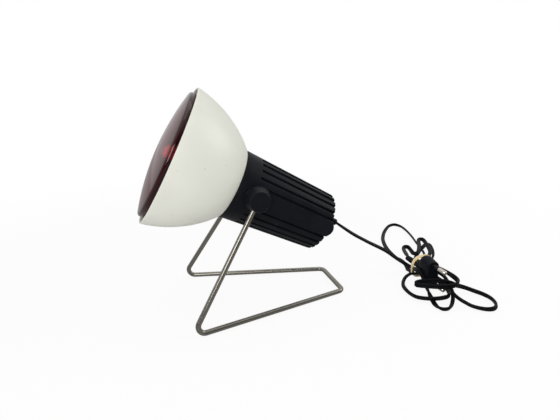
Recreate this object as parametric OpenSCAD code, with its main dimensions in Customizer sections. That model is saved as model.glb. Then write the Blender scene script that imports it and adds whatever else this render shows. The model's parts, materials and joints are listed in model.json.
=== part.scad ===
// Infrared heat lamp: a red reflector bulb in a bowl shade, a ribbed housing
// that tilts between two round knobs, and a stand bent from one steel wire.
// Millimetres. The lamp shines towards -X, +Z is up, and z = 0 is the table.
// The origin lies on the table under the middle of the lamp's own box.

/* [Stand] */
// Diameter of the stand's round wire
wire_d = 5; // [4:0.5:6]
// Radius of the wire's bends, to its centre line
bend_r = 7; // [6:0.5:12]
// Height of the tilt axis over the table
pivot_h = 113; // [108:1:140]
// How far the front corners of the stand lie in front of the tilt axis
front_x = 70; // [60:1:90]
// How far the cross bar lies behind the tilt axis
rear_x = 90; // [75:1:110]
// Width of the stand between the front corners
front_w = 130; // [110:1:160]
// Length of the cross bar
rear_w = 56; // [40:1:90]

/* [Tilt] */
// Angle of the lamp's axis above level
tilt = 28.5; // [10:0.5:45]
// Diameter of the tilt knobs at their base
knob_d = 26; // [22:0.5:28]
// Diameter of a knob's flat end
knob_end_d = 19; // [14:0.5:20]
// Height of a knob
knob_h = 12.2; // [11:0.1:16]
// Running gap between a knob and its seat on the housing
knob_gap = 0.3; // [0.2:0.05:0.6]
// Radial gap between the wire's end and the bush that it turns in
bush_gap = 0.05; // [0.03:0.01:0.1]

/* [Housing] */
// Diameter of the housing at the shade
housing_front_d = 70; // [68:0.5:76]
// Diameter of the housing at its rear end
housing_rear_d = 62; // [60:0.5:68]
// Distance from the tilt axis to the housing's front face
housing_front = 21; // [19:0.5:26]
// Room behind the lampholder for the leads and the cord clamp
rear_room = 33; // [31:0.5:50]
// Wall of the housing
housing_wall = 4.6; // [4.2:0.1:5]
// Depth of the cooling grooves
groove_d = 2; // [1:0.1:2.4]
// Width of the cooling grooves
groove_w = 2.4; // [1.5:0.1:3.5]
// Distance from the tilt axis forward to where the grooves start
groove_start = 4; // [0:0.5:8]
// Angle from one groove to the next
groove_pitch = 14.4; // [12:0.2:15]
// Thickness of the rear cover
cover_t = 3; // [2.5:0.1:4]
// Number of vent slots in the rear cover
vent_count = 10; // [6:1:12]

/* [Shade] */
// Gap between the edge of the bulb and the outside of the shade's rim
rim_gap = 6; // [4:0.5:9]
// Distance from the tilt axis to the shade's rim
rim_front = 85; // [80:1:92]
// Outer diameter of the shade where it meets the housing
shade_base_d = 71.6; // [70:0.2:76]
// Radius of the shade's outline
shade_arc_r = 106.5; // [90:0.5:140]
// Wall of the shade
shade_wall = 2; // [1.5:0.1:2.5]
// Opening in the shade's base for the neck of the bulb
shade_bore_d = 45; // [43:0.5:46]

/* [Bulb] */
// Largest diameter of the bulb
bulb_d = 122; // [118:0.5:124]
// Length of the bulb from its contact to the top of the dome
bulb_l = 135; // [132:0.5:138]
// How far the dome's edge stands out in front of the shade's rim
bulb_out = 4; // [2:0.5:8]
// Radius of the bulb's domed front
dome_r = 260; // [200:5:400]
// Thickness of the bulb's glass
glass_t = 2.6; // [2:0.1:3]
// Diameter of the bulb's neck and metal collar
neck_d = 39; // [36:0.5:40]
// Outer diameter of the bulb's screw cap
cap_d = 26.4; // [26:0.1:26.6]

/* [Cord] */
// Width of the flat mains cord
cord_w = 5.2; // [4.4:0.1:6]
// Thickness of the flat mains cord
cord_t = 2.7; // [2.4:0.1:3.2]
// How far above the housing's axis the cord leaves the rear cover
cord_up = 6; // [4:0.5:8]
// Length of the strain relief outside the rear cover
relief_l = 20; // [16:1:26]

/* [Plug] */
// Height of the plug's front, across the two pins
plug_w = 34; // [32:0.5:40]
// Thickness of the plug's front
plug_t = 14; // [13:0.5:20]
// Length of the plug's body
plug_l = 22; // [18:0.5:30]
// Diameter of a plug pin
pin_d = 4.8; // [4:0.1:5]
// Length of a plug pin outside the plug
pin_l = 19; // [17:0.5:20]
// Distance between the plug's pins
pin_pitch = 19; // [18:0.1:20]

/* [Hidden] */
$fn = 96;

// General clearances
fit = 0.05;      // screws and pressed pieces in their holes
loose = 0.2;     // covers and inserts in their seats
over = 1;        // how far a cut runs past the face that it opens
swell = 0.02;    // how much a bent wire thickens in its bends

// Wire stand
wire_r = wire_d / 2;
foot_z = wire_r + swell;
pivot_bend_r = wire_r + 1;
front_y = front_w / 2;
rear_y = rear_w / 2;

// Bulb
bulb_r = bulb_d / 2;
edge_z = rim_front + bulb_out;
dome_c = edge_z - sqrt(pow(dome_r, 2) - pow(bulb_r, 2));
dome_top = dome_c + dome_r;
seam_z = edge_z - 5;
seam_t = 4;
bowl_z = seam_z - seam_t;
neck_r = neck_d / 2;
neck_z = housing_front + 5;
vertex_z = (pow(bulb_r, 2) * neck_z - pow(neck_r, 2) * bowl_z) / (pow(bulb_r, 2) - pow(neck_r, 2));
bowl_k = pow(bulb_r, 2) / (bowl_z - vertex_z);
bowl_steps = 18;
contact_z = dome_top - bulb_l;
contact_t = 2.7;
insulator_z = contact_z + contact_t;
insulator_l = 6;
cap_z = insulator_z + insulator_l;
cap_l = 22;
cap_r = cap_d / 2;
thread_pitch = 3.6;
thread_h = 0.6;
cap_t = 0.4;
collar_z = cap_z + cap_l;
collar_cone = 4;
neck_bare = 10;
collar_l = neck_z - neck_bare - collar_z - collar_cone;
collar_t = 0.5;
neck_end = collar_z + collar_cone + collar_t + fit;
stem_base_t = 2;
focus_z = vertex_z + bowl_k / 4;
stem_l = (focus_z - neck_end - stem_base_t) / 3;
filament_r = 9;
filament_wire = 0.7;
filament_arc = 290;
filament_lead_r = 0.6;

// Lampholder
holder_r = 20;
holder_top = collar_z - 4;
sleeve_gap = 0.3;
sleeve_t = 0.5;
sleeve_out_r = cap_r + sleeve_gap + sleeve_t;
holder_bore_r = sleeve_out_r + fit;
tongue_t = 1.2;
holder_floor = contact_z - tongue_t - 2;
holder_end = holder_floor - 8;
bracket_t = 1.5;
bracket_w = 14;
bracket_c = 24;
bracket_z = holder_end - bracket_t;
bracket_post_l = 10;
bracket_screw_l = 8;
holder_screw_c = 9;
terminal_c = 12.5;
terminal_r = 3;
terminal_l = 7;
lead_r = 1.2;
lead_bend = 1.5;

// Housing: z runs forward along the lamp's axis from the tilt axis, x is up
front_r = housing_front_d / 2;
rear_r = housing_rear_d / 2;
housing_rear = rear_room - holder_end;
housing_l = housing_front + housing_rear;
taper = (front_r - rear_r) / housing_l;
cavity_front_r = front_r - housing_wall;
cavity_rear_r = rear_r - housing_wall;
groove_len = groove_start + housing_rear;
panel_half = 5 * groove_pitch;
flange_t = 4;

// Tilt pivot: y runs outwards from the lamp's axis
seat_y = front_r;
seat_r = knob_d / 2 + 0.6;
knob_y = seat_y + knob_gap;
arm_y = knob_y + wire_r + 1.2;
washer_r = 8;
washer_t = 1.2;
washer_seat = washer_t + 2 * fit - knob_gap;
bush_r = 4.5;
bush_l = 7;
bush_bore_r = wire_r + bush_gap;
bush_in_y = seat_y - washer_seat - bush_l;
boss_r = 8;
nut_r = 6;
nut_t = 1;
nut_y = bush_in_y - 0.3 - nut_t;
axle_in_y = nut_y - 2;

// Shade
rim_r = bulb_r + rim_gap;
base_r = shade_base_d / 2;
shade_base_t = 3;
rim_bead_r = shade_wall / 2;
rim_z = rim_front - rim_bead_r;
chord = [rim_r - base_r, rim_front - housing_front];
arc_rise = sqrt(pow(shade_arc_r, 2) - pow(norm(chord) / 2, 2));
arc_c = [(rim_r + base_r) / 2, (rim_front + housing_front) / 2]
    + [-chord[1], chord[0]] / norm(chord) * arc_rise;
bead_c = [arc_c[0] + sqrt(pow(shade_arc_r - rim_bead_r, 2) - pow(rim_z - arc_c[1], 2)), rim_z];

// Screws
screw_r = 1.5;
head_r = 2.8;
head_t = 2;
slot_w = 0.8;
slot_d = 0.8;
post_r = 4;
shade_screw_n = 3;
shade_screw_c = 27.5;
shade_screw_l = 14;
cover_screw_c = cavity_rear_r - post_r + 1;
cover_post_l = 13;
cover_screw_l = 10;

// Rear cover and cord exit
cover_seat = cover_t + 0.5;
cover_z = -housing_rear + 0.5;
cover_r = cavity_rear_r + 0.8;
vent_in = 14.5;
vent_out = 21;
vent_w = 2.6;
relief_bore_r = cord_w / 2 + 0.15;
relief_root_r = 4.6;
relief_tip_r = cord_w / 2 + 0.7;
relief_hole_r = 4.6;
relief_flange_r = 6.2;
relief_flange_t = 1.6;
relief_end = cover_z - relief_l;
relief_rings = 4;
clamp_z = cover_z + cover_t + 5;
clamp_w = 7;
clamp_t = 2.5;
clamp_c = relief_flange_r + 2.6;
clamp_post_r = 2.8;
clamp_screw_l = 6;
tail_end = clamp_z + 5;

// Place of the tilt axis: the lamp's own box is centred on the origin
front_reach = rim_front * cos(tilt) + rim_r * sin(tilt);
rear_reach = max(rear_x + wire_r, -relief_end * cos(tilt) + (cord_up + relief_tip_r) * sin(tilt));
pivot_x = (front_reach - rear_reach) / 2;

// The stand's wire, from the inside of one bush round to the other
wire_path = [
    [pivot_x, -axle_in_y, pivot_h],
    [pivot_x, -arm_y, pivot_h],
    [pivot_x - front_x, -front_y, foot_z],
    [pivot_x + rear_x, -rear_y, foot_z],
    [pivot_x + rear_x, rear_y, foot_z],
    [pivot_x - front_x, front_y, foot_z],
    [pivot_x, arm_y, pivot_h],
    [pivot_x, axle_in_y, pivot_h],
];
wire_bends = [pivot_bend_r, bend_r, bend_r, bend_r, bend_r, pivot_bend_r];

// Cord between the strain relief and the tied hank, chosen by hand
cord_gap = 0.6;
cord_exit = axis_point(cord_up, relief_end - cord_gap);
cord_route = [
    [106, 0, 64],
    [112, 0, 59],
    [119, 0, 54],
    [126, 0, 49],
    [134, 0, 44],
    [142, 0, 39.5],
    [150, 0, 35],
    [158, 0, 30.5],
    [165, 0, 26],
    [172, -1, 20.5],
    [178, -4, 15.5],
    [183, -8, 11.5],
    [187, -13, 8.5],
];
cord_sides = 12;

// Hank: strands folded back and forth along Y and tied beside the plug
plug_x = 188.5;
plug_face_y = -52.5;
plug_back_y = plug_face_y + plug_l;
plug_z = plug_w / 2;
plug_round = 6;
plug_cone_l = 9;
plug_tail_r = cord_w / 2 + 1;
plug_tail_l = 16;
pin_root = 6;
pin_root_r = pin_d / 2 - 0.4;
strand_h = cord_w + 0.6;
loop_h = plug_z - pin_pitch / 2 - pin_d / 2 - 0.8;
core_h = 24;
core_r = 14;
core_a = [197, -14];
core_b = [209, 10];
mid_h = 13;
mid_a = [228, 14];
mid_b = [249, 60];
mid_r = 17;
far_a = [217, 40];
far_b = [247, 120];
far_r = 23;
left_c = [182, -53];
left_r = 24;
fore_a = [184, -70];
fore_b = [181, -83];
fore_r = 14;
right_a = [215.5, -66.5];
right_b = [216, -99];
right_r = 11.5;
band_y = -18.5;
band_w = 5.4;
band_t = 1.2;
band_out_w = 2 * core_r - 2;
band_out_h = core_h + band_t;
band_r = 8;

// ---- helpers -------------------------------------------------------------

function unit(v) = v / norm(v);
function turn(a, b, c) = acos(unit(b - a) * unit(c - b));
function housing_r(z) = rear_r + (z + housing_rear) * taper;
function cavity_r(z) = housing_r(z) - housing_wall;

// A point of the tilted lamp, from its height over the axis and its place along it
function axis_point(x, z) = [
    pivot_x - z * cos(tilt) + x * sin(tilt),
    0,
    pivot_h + z * sin(tilt) + x * cos(tilt)
];

// Moves a piece from the lamp's own frame to its place on the stand
module head() {
    translate([pivot_x, 0, pivot_h]) rotate([0, tilt - 90, 0]) children();
}

// A round rod from point a to point b
module rod(a, b, r) {
    d = unit(b - a);
    translate(a) rotate([0, acos(d[2]), atan2(d[1], d[0])]) cylinder(h = norm(b - a), r = r);
}

// A round bend that leads from a to c past the corner b
module elbow(a, b, c, r, bend) {
    d1 = unit(b - a);
    d2 = unit(c - b);
    angle = turn(a, b, c);
    inward = unit(d2 - d1 * (d1 * d2));
    axis = unit(cross(d1, d2));
    beta = acos(axis[2]);
    gamma = atan2(axis[1], axis[0]);
    along = -inward * [cos(gamma) * cos(beta), sin(gamma) * cos(beta), -sin(beta)];
    across = -inward * [-sin(gamma), cos(gamma), 0];
    translate(b - d1 * bend * tan(angle / 2) + inward * bend)
        rotate([0, beta, gamma])
            rotate([0, 0, atan2(across, along)])
                rotate_extrude(angle = angle) translate([bend, 0]) circle(r = r + swell);
}

// A rod bent along a list of points, with one bend radius for each inner point.
// The straight pieces reach a little into the bends.
module bent_rod(points, r, bends) {
    last = len(points) - 1;
    trim = [for (i = [0:last]) i == 0 || i == last ? 0
        : bends[i - 1] * tan(turn(points[i - 1], points[i], points[i + 1]) / 2) - sqrt(bends[i - 1] * swell)];
    for (i = [0:last - 1]) {
        d = unit(points[i + 1] - points[i]);
        rod(points[i] + d * trim[i], points[i + 1] - d * trim[i + 1], r);
    }
    for (i = [1:last - 1]) elbow(points[i - 1], points[i], points[i + 1], r, bends[i - 1]);
}

// A ring between two radii, from z = 0 up
module tube(h, r_out, r_in) {
    difference() {
        cylinder(h = h, r = r_out);
        translate([0, 0, -over]) cylinder(h = h + 2 * over, r = r_in);
    }
}

// A slotted screw: its head stands on z = 0 and its shank points down
module screw(length) {
    difference() {
        union() {
            cylinder(h = head_t, r = head_r);
            translate([0, 0, -length]) cylinder(h = length + fit, r = screw_r);
        }
        translate([-head_r - over, -slot_w / 2, head_t - slot_d]) cube([2 * (head_r + over), slot_w, slot_d + over]);
    }
}

// Copies a piece of the pivot to both sides; its y axis points outwards there
module both_sides() {
    for (s = [0, 1]) mirror([0, s, 0]) children();
}

// Turns a piece drawn along z so that it points outwards along +Y
module outwards() {
    rotate([-90, 0, 0]) children();
}

// A rectangle with round corners, centred on the origin
module rounded_rect(w, h, r) {
    square([w, h - 2 * r], center = true);
    square([w - 2 * r, h], center = true);
    for (x = [-1, 1], y = [-1, 1]) translate([x * (w / 2 - r), y * (h / 2 - r)]) circle(r = r);
}

// A flat shape with round ends from p to q
module lozenge(p, q, r, h) {
    d = q - p;
    linear_extrude(h) {
        translate(p) circle(r = r);
        translate(q) circle(r = r);
        translate(p) rotate(atan2(d[1], d[0])) translate([0, -r]) square([norm(d), 2 * r]);
    }
}

// ---- stand ---------------------------------------------------------------

module wire_stand() {
    color("#8e8b82") bent_rod(wire_path, wire_r, wire_bends);
}

// The far knob; the near one is its mirror image
module knob() {
    chamfer = 0.8;
    skirt = 1.6;
    dish_d = 0.5;
    dish_r = knob_end_d / 2 - 1.4;
    difference() {
        translate([pivot_x, knob_y, pivot_h]) outwards() difference() {
            union() {
                cylinder(h = skirt, r = knob_d / 2);
                translate([0, 0, skirt])
                    cylinder(h = knob_h - skirt - chamfer, r1 = knob_d / 2 - 0.5, r2 = knob_end_d / 2);
                translate([0, 0, knob_h - chamfer])
                    cylinder(h = chamfer, r1 = knob_end_d / 2, r2 = knob_end_d / 2 - chamfer);
            }
            translate([0, 0, knob_h - dish_d]) cylinder(h = dish_d + over, r = dish_r);
        }
        mirror([0, 1, 0]) knob_channel();
    }
}

// The space that the wire takes inside the near knob
module knob_channel() {
    leg = unit(wire_path[2] - wire_path[1]) * knob_d;
    bent_rod([wire_path[0], wire_path[1], wire_path[1] + leg], wire_r + fit, wire_bends);
}

module knob_far() {
    color("#26262a") knob();
}

module knob_near() {
    color("#26262a") mirror([0, 1, 0]) knob();
}

// Spring washers that press each knob against its seat
module pivot_washers() {
    color("#a9a9a6") translate([pivot_x, 0, pivot_h]) both_sides()
        translate([0, knob_y - fit - washer_t, 0]) outwards() tube(washer_t, washer_r, wire_r + fit);
}

// Push-on nuts that keep the wire's ends in their bushes
module push_nuts() {
    color("#b0b0ad") translate([pivot_x, 0, pivot_h]) both_sides()
        translate([0, nut_y, 0]) outwards() difference() {
            tube(nut_t, nut_r, wire_r + fit);
            for (a = [0:60:300]) rotate(a) translate([wire_r, -0.4, -over]) cube([1.4, 0.8, nut_t + 2 * over]);
        }
}

// ---- housing -------------------------------------------------------------

// One cooling groove that runs out over the rear end
module groove(angle) {
    rotate([0, 0, angle]) translate([housing_r(groove_start), 0, groove_start])
        rotate([0, atan(taper), 0]) translate([-groove_d, -groove_w / 2, -groove_len - over])
            cube([groove_d + over, groove_w, groove_len + over]);
}

module housing_shell() {
    chamfer = 1.2;
    translate([0, 0, -housing_rear + chamfer])
        cylinder(h = housing_l - chamfer, r1 = housing_r(-housing_rear + chamfer), r2 = front_r);
    translate([0, 0, -housing_rear])
        cylinder(h = chamfer, r1 = rear_r - chamfer, r2 = housing_r(-housing_rear + chamfer));
}

// The hollow behind the front flange, less the posts that stand in it
module housing_hollow() {
    difference() {
        translate([0, 0, -housing_rear - over]) cylinder(
            h = housing_l - flange_t + over,
            r1 = cavity_r(-housing_rear - over),
            r2 = cavity_r(housing_front - flange_t));
        both_sides() translate([0, bush_in_y, 0]) outwards() cylinder(h = front_r, r = boss_r);
        for (s = [-1, 1]) {
            translate([0, s * cover_screw_c, cover_z + cover_t]) cylinder(h = cover_post_l, r = post_r);
            translate([s * bracket_c, 0, bracket_z - bracket_post_l]) cylinder(h = bracket_post_l, r = post_r);
        }
        for (i = [0:shade_screw_n - 1]) rotate(i * 360 / shade_screw_n)
            translate([shade_screw_c, 0, housing_front - shade_screw_l]) cylinder(h = shade_screw_l, r = post_r);
    }
}

module housing() {
    pilot = screw_r + fit;
    color("#232428") head() difference() {
        union() {
            housing_shell();
            both_sides() outwards() cylinder(h = seat_y, r = seat_r);
        }
        for (i = [-5:5]) {
            groove(i * groove_pitch);
            groove(180 + i * groove_pitch);
        }
        housing_hollow();
        translate([0, 0, -housing_rear - over]) cylinder(h = cover_seat + over, r = cover_r + loose);
        cylinder(h = housing_front + over, r = shade_bore_d / 2);
        both_sides() {
            outwards() cylinder(h = seat_y + over, r = bush_r + fit);
            translate([0, seat_y - washer_seat, 0]) outwards() cylinder(h = washer_seat + over, r = washer_r + 0.3);
        }
        for (s = [-1, 1]) {
            translate([0, s * cover_screw_c, cover_z]) cylinder(h = cover_t + cover_screw_l, r = pilot);
            translate([s * bracket_c, 0, bracket_z - bracket_screw_l]) cylinder(h = bracket_screw_l + over, r = pilot);
        }
        for (i = [0:shade_screw_n - 1]) rotate(i * 360 / shade_screw_n)
            translate([shade_screw_c, 0, housing_front - shade_screw_l + 2])
                cylinder(h = shade_screw_l, r = pilot);
    }
}

// Brass bushes pressed into the housing's sides
module pivot_bushes() {
    color("#b08d4f") head() both_sides()
        translate([0, bush_in_y, 0]) outwards() tube(bush_l, bush_r, bush_bore_r);
}

module rear_cover() {
    color("#2a2b2f") head() difference() {
        union() {
            translate([0, 0, cover_z]) cylinder(h = cover_t, r = cover_r);
            for (s = [-1, 1]) translate([cord_up, s * clamp_c, cover_z])
                cylinder(h = clamp_z - cover_z, r = clamp_post_r);
        }
        for (i = [0:vent_count - 1]) {
            a = (i + 0.5) * 360 / vent_count;
            if (abs(sin(a)) < 0.9) rotate(a) translate([vent_in, -vent_w / 2, cover_z - over])
                cube([vent_out - vent_in, vent_w, cover_t + 2 * over]);
        }
        translate([cord_up, 0, cover_z - over]) cylinder(h = cover_t + 2 * over, r = relief_hole_r + fit);
        for (s = [-1, 1]) {
            translate([0, s * cover_screw_c, cover_z - over]) cylinder(h = cover_t + 2 * over, r = screw_r + fit);
            translate([cord_up, s * clamp_c, clamp_z - clamp_screw_l]) cylinder(h = clamp_screw_l + over, r = screw_r + fit);
        }
    }
}

module rear_cover_screws() {
    color("#9b9b98") head() for (s = [-1, 1])
        translate([0, s * cover_screw_c, cover_z]) mirror([0, 0, 1]) screw(cover_t + cover_screw_l - 1);
}

// ---- shade ---------------------------------------------------------------

module shade_profile() {
    difference() {
        intersection() {
            translate(arc_c) circle(r = shade_arc_r, $fn = 360);
            translate([shade_bore_d / 2, housing_front]) square([2 * rim_r, rim_z - housing_front]);
        }
        intersection() {
            translate(arc_c) circle(r = shade_arc_r - shade_wall, $fn = 360);
            translate([0, housing_front + shade_base_t]) square(2 * rim_r);
        }
    }
    translate(bead_c) circle(r = rim_bead_r, $fn = 32);
}

module shade() {
    color("#e4e5d9") head() difference() {
        rotate_extrude($fn = 180) shade_profile();
        for (i = [0:shade_screw_n - 1]) rotate(i * 360 / shade_screw_n)
            translate([shade_screw_c, 0, housing_front - over])
                cylinder(h = shade_base_t + 2 * over, r = screw_r + 0.2);
    }
}

module shade_screws() {
    color("#b5b5b2") head() for (i = [0:shade_screw_n - 1]) rotate(i * 360 / shade_screw_n)
        translate([shade_screw_c, 0, housing_front + shade_base_t]) screw(shade_screw_l);
}

// ---- bulb ----------------------------------------------------------------

// Ridges of the screw thread between z = 0 and h, drawn as closed rings
function thread_points(r, h) = [
    for (i = [0:floor(h / thread_pitch) - 1], p = [[-thread_h, 0], [0, 0.3], [0, 0.7]])
        [r + p[0], (i + p[1]) * thread_pitch]
];

module bulb_lens() {
    edge = 1.5;
    color("#7a1016") head() rotate_extrude($fn = 180) {
        difference() {
            intersection() {
                translate([0, dome_c]) circle(r = dome_r, $fn = 720);
                translate([0, seam_z]) square([bulb_r - edge, bulb_r]);
            }
            intersection() {
                translate([0, dome_c]) circle(r = dome_r - glass_t, $fn = 720);
                translate([-over, seam_z - over]) square([bulb_r - glass_t + over, bulb_r]);
            }
        }
        translate([bulb_r - glass_t, seam_z]) square([glass_t, edge_z - seam_z - edge]);
        translate([bulb_r - edge, edge_z - edge]) circle(r = edge, $fn = 32);
    }
}

// Parabolic bowl of the bulb, open in front, with its neck
module bulb_reflector() {
    outer = [for (i = [0:bowl_steps])
        let (z = bowl_z + (neck_z - bowl_z) * i / bowl_steps) [sqrt(bowl_k * (z - vertex_z)), z]];
    inner = [for (i = [bowl_steps:-1:0])
        let (z = bowl_z + (neck_z - bowl_z) * i / bowl_steps) [sqrt(bowl_k * (z - vertex_z)) - glass_t, z + 0.6]];
    color("#b9b4b0") head() rotate_extrude($fn = 120) polygon(concat(
        [[bulb_r - glass_t, seam_z], [bulb_r, seam_z]],
        outer,
        [[neck_r - collar_t - fit, neck_z - 2], [neck_r - collar_t - fit, neck_end]],
        [[neck_r - collar_t - glass_t, neck_end], [neck_r - collar_t - glass_t, neck_z - 2]],
        inner
    ));
}

module bulb_collar() {
    color("#c2a45c") head() rotate_extrude() polygon([
        [neck_r, collar_z + collar_cone],
        [neck_r, collar_z + collar_cone + collar_l],
        [neck_r - collar_t, collar_z + collar_cone + collar_l],
        [neck_r - collar_t, collar_z + collar_cone + collar_t],
        [cap_r - cap_t, collar_z + collar_t],
        [cap_r - cap_t, collar_z],
        [cap_r, collar_z],
    ]);
}

module bulb_cap() {
    inner_r = cap_r - thread_h - cap_t;
    color("#c9ab63") head() translate([0, 0, cap_z]) rotate_extrude() polygon(concat(
        [[inner_r, 0]],
        thread_points(cap_r, cap_l),
        [[cap_r - thread_h, cap_l], [inner_r, cap_l]]
    ));
}

module bulb_insulator() {
    color("#1b1b1d") head() translate([0, 0, insulator_z])
        cylinder(h = insulator_l, r1 = 5.5, r2 = cap_r - thread_h - cap_t);
}

module bulb_contact() {
    color("#b7b7b4") head() translate([0, 0, contact_z]) cylinder(h = contact_t, r1 = 3.6, r2 = 4.6);
}

// Glass stem that closes the neck and carries the filament's leads
module bulb_stem() {
    color("#c8ccc9") head() translate([0, 0, neck_end]) {
        cylinder(h = stem_base_t, r = neck_r - collar_t - glass_t - fit);
        translate([0, 0, stem_base_t]) cylinder(h = stem_l, r1 = 6, r2 = 3.6);
    }
}

// Straight wires from the stem to the filament's ends
module filament_leads() {
    start = neck_end + stem_base_t + stem_l + fit;
    tip = [filament_r * cos(filament_arc / 2), filament_r * sin(filament_arc / 2), focus_z - filament_wire];
    color("#9a9a98") head() for (s = [-1, 1])
        rod([0, s * 2, start], [tip[0], s * tip[1], tip[2]], filament_lead_r);
}

module filament() {
    color("#6f6f72") head() translate([0, 0, focus_z]) rotate(-filament_arc / 2)
        rotate_extrude(angle = filament_arc) translate([filament_r, 0]) circle(r = filament_wire, $fn = 24);
}

// ---- lampholder ----------------------------------------------------------

module lampholder_body() {
    color("#e9e6dd") head() difference() {
        union() {
            translate([0, 0, holder_end]) cylinder(h = holder_top - holder_end, r = holder_r - 1.5);
            translate([0, 0, holder_top - 8]) cylinder(h = 8, r = holder_r);
        }
        translate([0, 0, holder_floor]) cylinder(h = holder_top - holder_floor + over, r = holder_bore_r);
        for (s = [-1, 1]) {
            translate([s * holder_screw_c, 0, holder_end - over]) cylinder(h = 6 + over, r = screw_r + fit);
            translate([0, s * terminal_c, holder_end - over]) cylinder(h = 4 + over, r = terminal_r + fit);
        }
    }
}

// Threaded sleeve of the lampholder
module lampholder_sleeve() {
    bore_r = cap_r + sleeve_gap;
    z0 = cap_z + 1;
    color("#c6a55a") head() translate([0, 0, z0]) tube(holder_top - 2 - z0, sleeve_out_r, bore_r);
}

// Sprung tongue under the bulb's contact
module lampholder_tongue() {
    color("#c58f4a") head() {
        translate([-4, -3, holder_floor]) cube([14, 6, 0.8]);
        translate([0, 0, holder_floor + 0.8]) cylinder(h = contact_z - holder_floor - 0.8 - fit, r = 2.6);
    }
}

// Steel strip that carries the lampholder between two posts
module lampholder_bracket() {
    color("#a8a8a5") head() difference() {
        translate([-bracket_c - post_r, -bracket_w / 2, bracket_z])
            cube([2 * (bracket_c + post_r), bracket_w, bracket_t]);
        difference() {
            translate([0, 0, bracket_z - over]) cylinder(h = bracket_t + 2 * over, r = 3 * bracket_c);
            translate([0, 0, bracket_z - 2 * over]) cylinder(h = bracket_t + 4 * over, r = cavity_r(bracket_z) - loose);
        }
        for (s = [-1, 1]) {
            translate([s * bracket_c, 0, bracket_z - over]) cylinder(h = bracket_t + 2 * over, r = screw_r + fit);
            translate([s * holder_screw_c, 0, bracket_z - over]) cylinder(h = bracket_t + 2 * over, r = screw_r + fit);
        }
    }
}

module bracket_screws() {
    color("#b5b5b2") head() for (s = [-1, 1])
        translate([s * bracket_c, 0, bracket_z + bracket_t]) screw(bracket_screw_l);
}

module holder_screws() {
    color("#b5b5b2") head() for (s = [-1, 1])
        translate([s * holder_screw_c, 0, bracket_z]) mirror([0, 0, 1]) screw(bracket_t + 5);
}

// Brass terminal posts with a cross hole for the lead
module terminals() {
    color("#c6a55a") head() for (s = [-1, 1]) difference() {
        translate([0, s * terminal_c, holder_end - terminal_l]) cylinder(h = terminal_l + 4 - fit, r = terminal_r);
        translate([0, s * terminal_c, holder_end - terminal_l - over]) cylinder(h = 3.5 + over, r = lead_r + fit);
        translate([0, s * terminal_c, holder_end - terminal_l + 2.6]) rotate([-90 * s, 0, 0])
            cylinder(h = terminal_r + over, r = 0.9);
    }
}

module terminal_screws() {
    color("#8f8f8c") head() for (s = [-1, 1])
        translate([0, s * (terminal_c + lead_r + 0.2), holder_end - terminal_l + 2.6])
            rotate([-90 * s, 0, 0]) cylinder(h = terminal_r, r = 0.85);
}

// Insulated leads from the cord's end to the terminals
module lead(s) {
    start = [cord_up, s * (lead_r + 0.1), tail_end + fit];
    end = [0, s * terminal_c, holder_end - terminal_l];
    head() bent_rod([
        start,
        start + [0, 0, 5],
        [(cord_up) / 2, s * terminal_c, (start[2] + end[2]) / 2 + 1],
        [0, s * terminal_c, end[2] - 4],
        end + [0, 0, 3],
    ], lead_r, [for (i = [1:3]) lead_bend]);
}

module lead_brown() {
    color("#6b3d22") lead(1);
}

module lead_blue() {
    color("#2f5f9e") lead(-1);
}

// ---- cord exit -----------------------------------------------------------

// Tapered rubber strain relief held in the rear cover
module cord_relief() {
    color("#1d1d20") head() translate([cord_up, 0, 0]) difference() {
        union() {
            translate([0, 0, relief_end])
                cylinder(h = relief_l - relief_flange_t, r1 = relief_tip_r, r2 = relief_root_r);
            translate([0, 0, cover_z - relief_flange_t]) cylinder(h = relief_flange_t - fit, r = relief_flange_r);
            translate([0, 0, cover_z - relief_flange_t]) cylinder(h = relief_flange_t + cover_t, r = relief_hole_r);
            translate([0, 0, cover_z + cover_t]) cylinder(h = fit, r = relief_hole_r);
            translate([0, 0, cover_z + cover_t + fit]) cylinder(h = relief_flange_t, r = relief_flange_r - 0.6);
        }
        translate([0, 0, relief_end - over]) cylinder(h = relief_l + 4 * over + cover_t + relief_flange_t, r = relief_bore_r);
        for (i = [0:relief_rings - 1]) translate([0, 0, relief_end + 2.4 + 3.6 * i])
            difference() {
                cylinder(h = 1.3, r = relief_flange_r);
                translate([0, 0, -over]) cylinder(h = 1.3 + 2 * over, r = cord_w / 2 + 0.45 + 0.25 * i);
            }
    }
}

// The cord's end inside the strain relief and the housing
module cord_tail() {
    half = (cord_w - cord_t) / 2;
    color("#17171a") head() translate([cord_up, 0, relief_end])
        lozenge([0, -half], [0, half], cord_t / 2, tail_end - relief_end);
}

module cord_clamp() {
    arm = clamp_c + clamp_post_r;
    color("#2a2b2f") head() translate([cord_up, 0, clamp_z]) difference() {
        translate([-clamp_w / 2, -arm, 0]) cube([clamp_w, 2 * arm, clamp_t]);
        translate([-cord_t / 2 - fit, -cord_w / 2 - fit, -over])
            cube([cord_t + 2 * fit, cord_w + 2 * fit, clamp_t + 2 * over]);
        for (s = [-1, 1]) translate([0, s * clamp_c, -over]) cylinder(h = clamp_t + 2 * over, r = screw_r + fit);
    }
}

module clamp_screws() {
    color("#b5b5b2") head() for (s = [-1, 1])
        translate([cord_up, s * clamp_c, clamp_z + clamp_t]) screw(clamp_t + clamp_screw_l - 1);
}

// ---- free cord, hank and plug --------------------------------------------

function route_tangent(p, i) = unit(p[min(i + 1, len(p) - 1)] - p[max(i - 1, 0)]);

// Outline of the flat cord round point i of a route; its width lies level
function route_ring(p, i) = let (
    t = route_tangent(p, i),
    side = unit(cross(t, [0, 0, 1])),
    up = cross(side, t)
) [for (k = [0:cord_sides - 1]) let (a = k * 360 / cord_sides)
    p[i] + side * cos(a) * cord_w / 2 + up * sin(a) * cord_t / 2];

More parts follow.
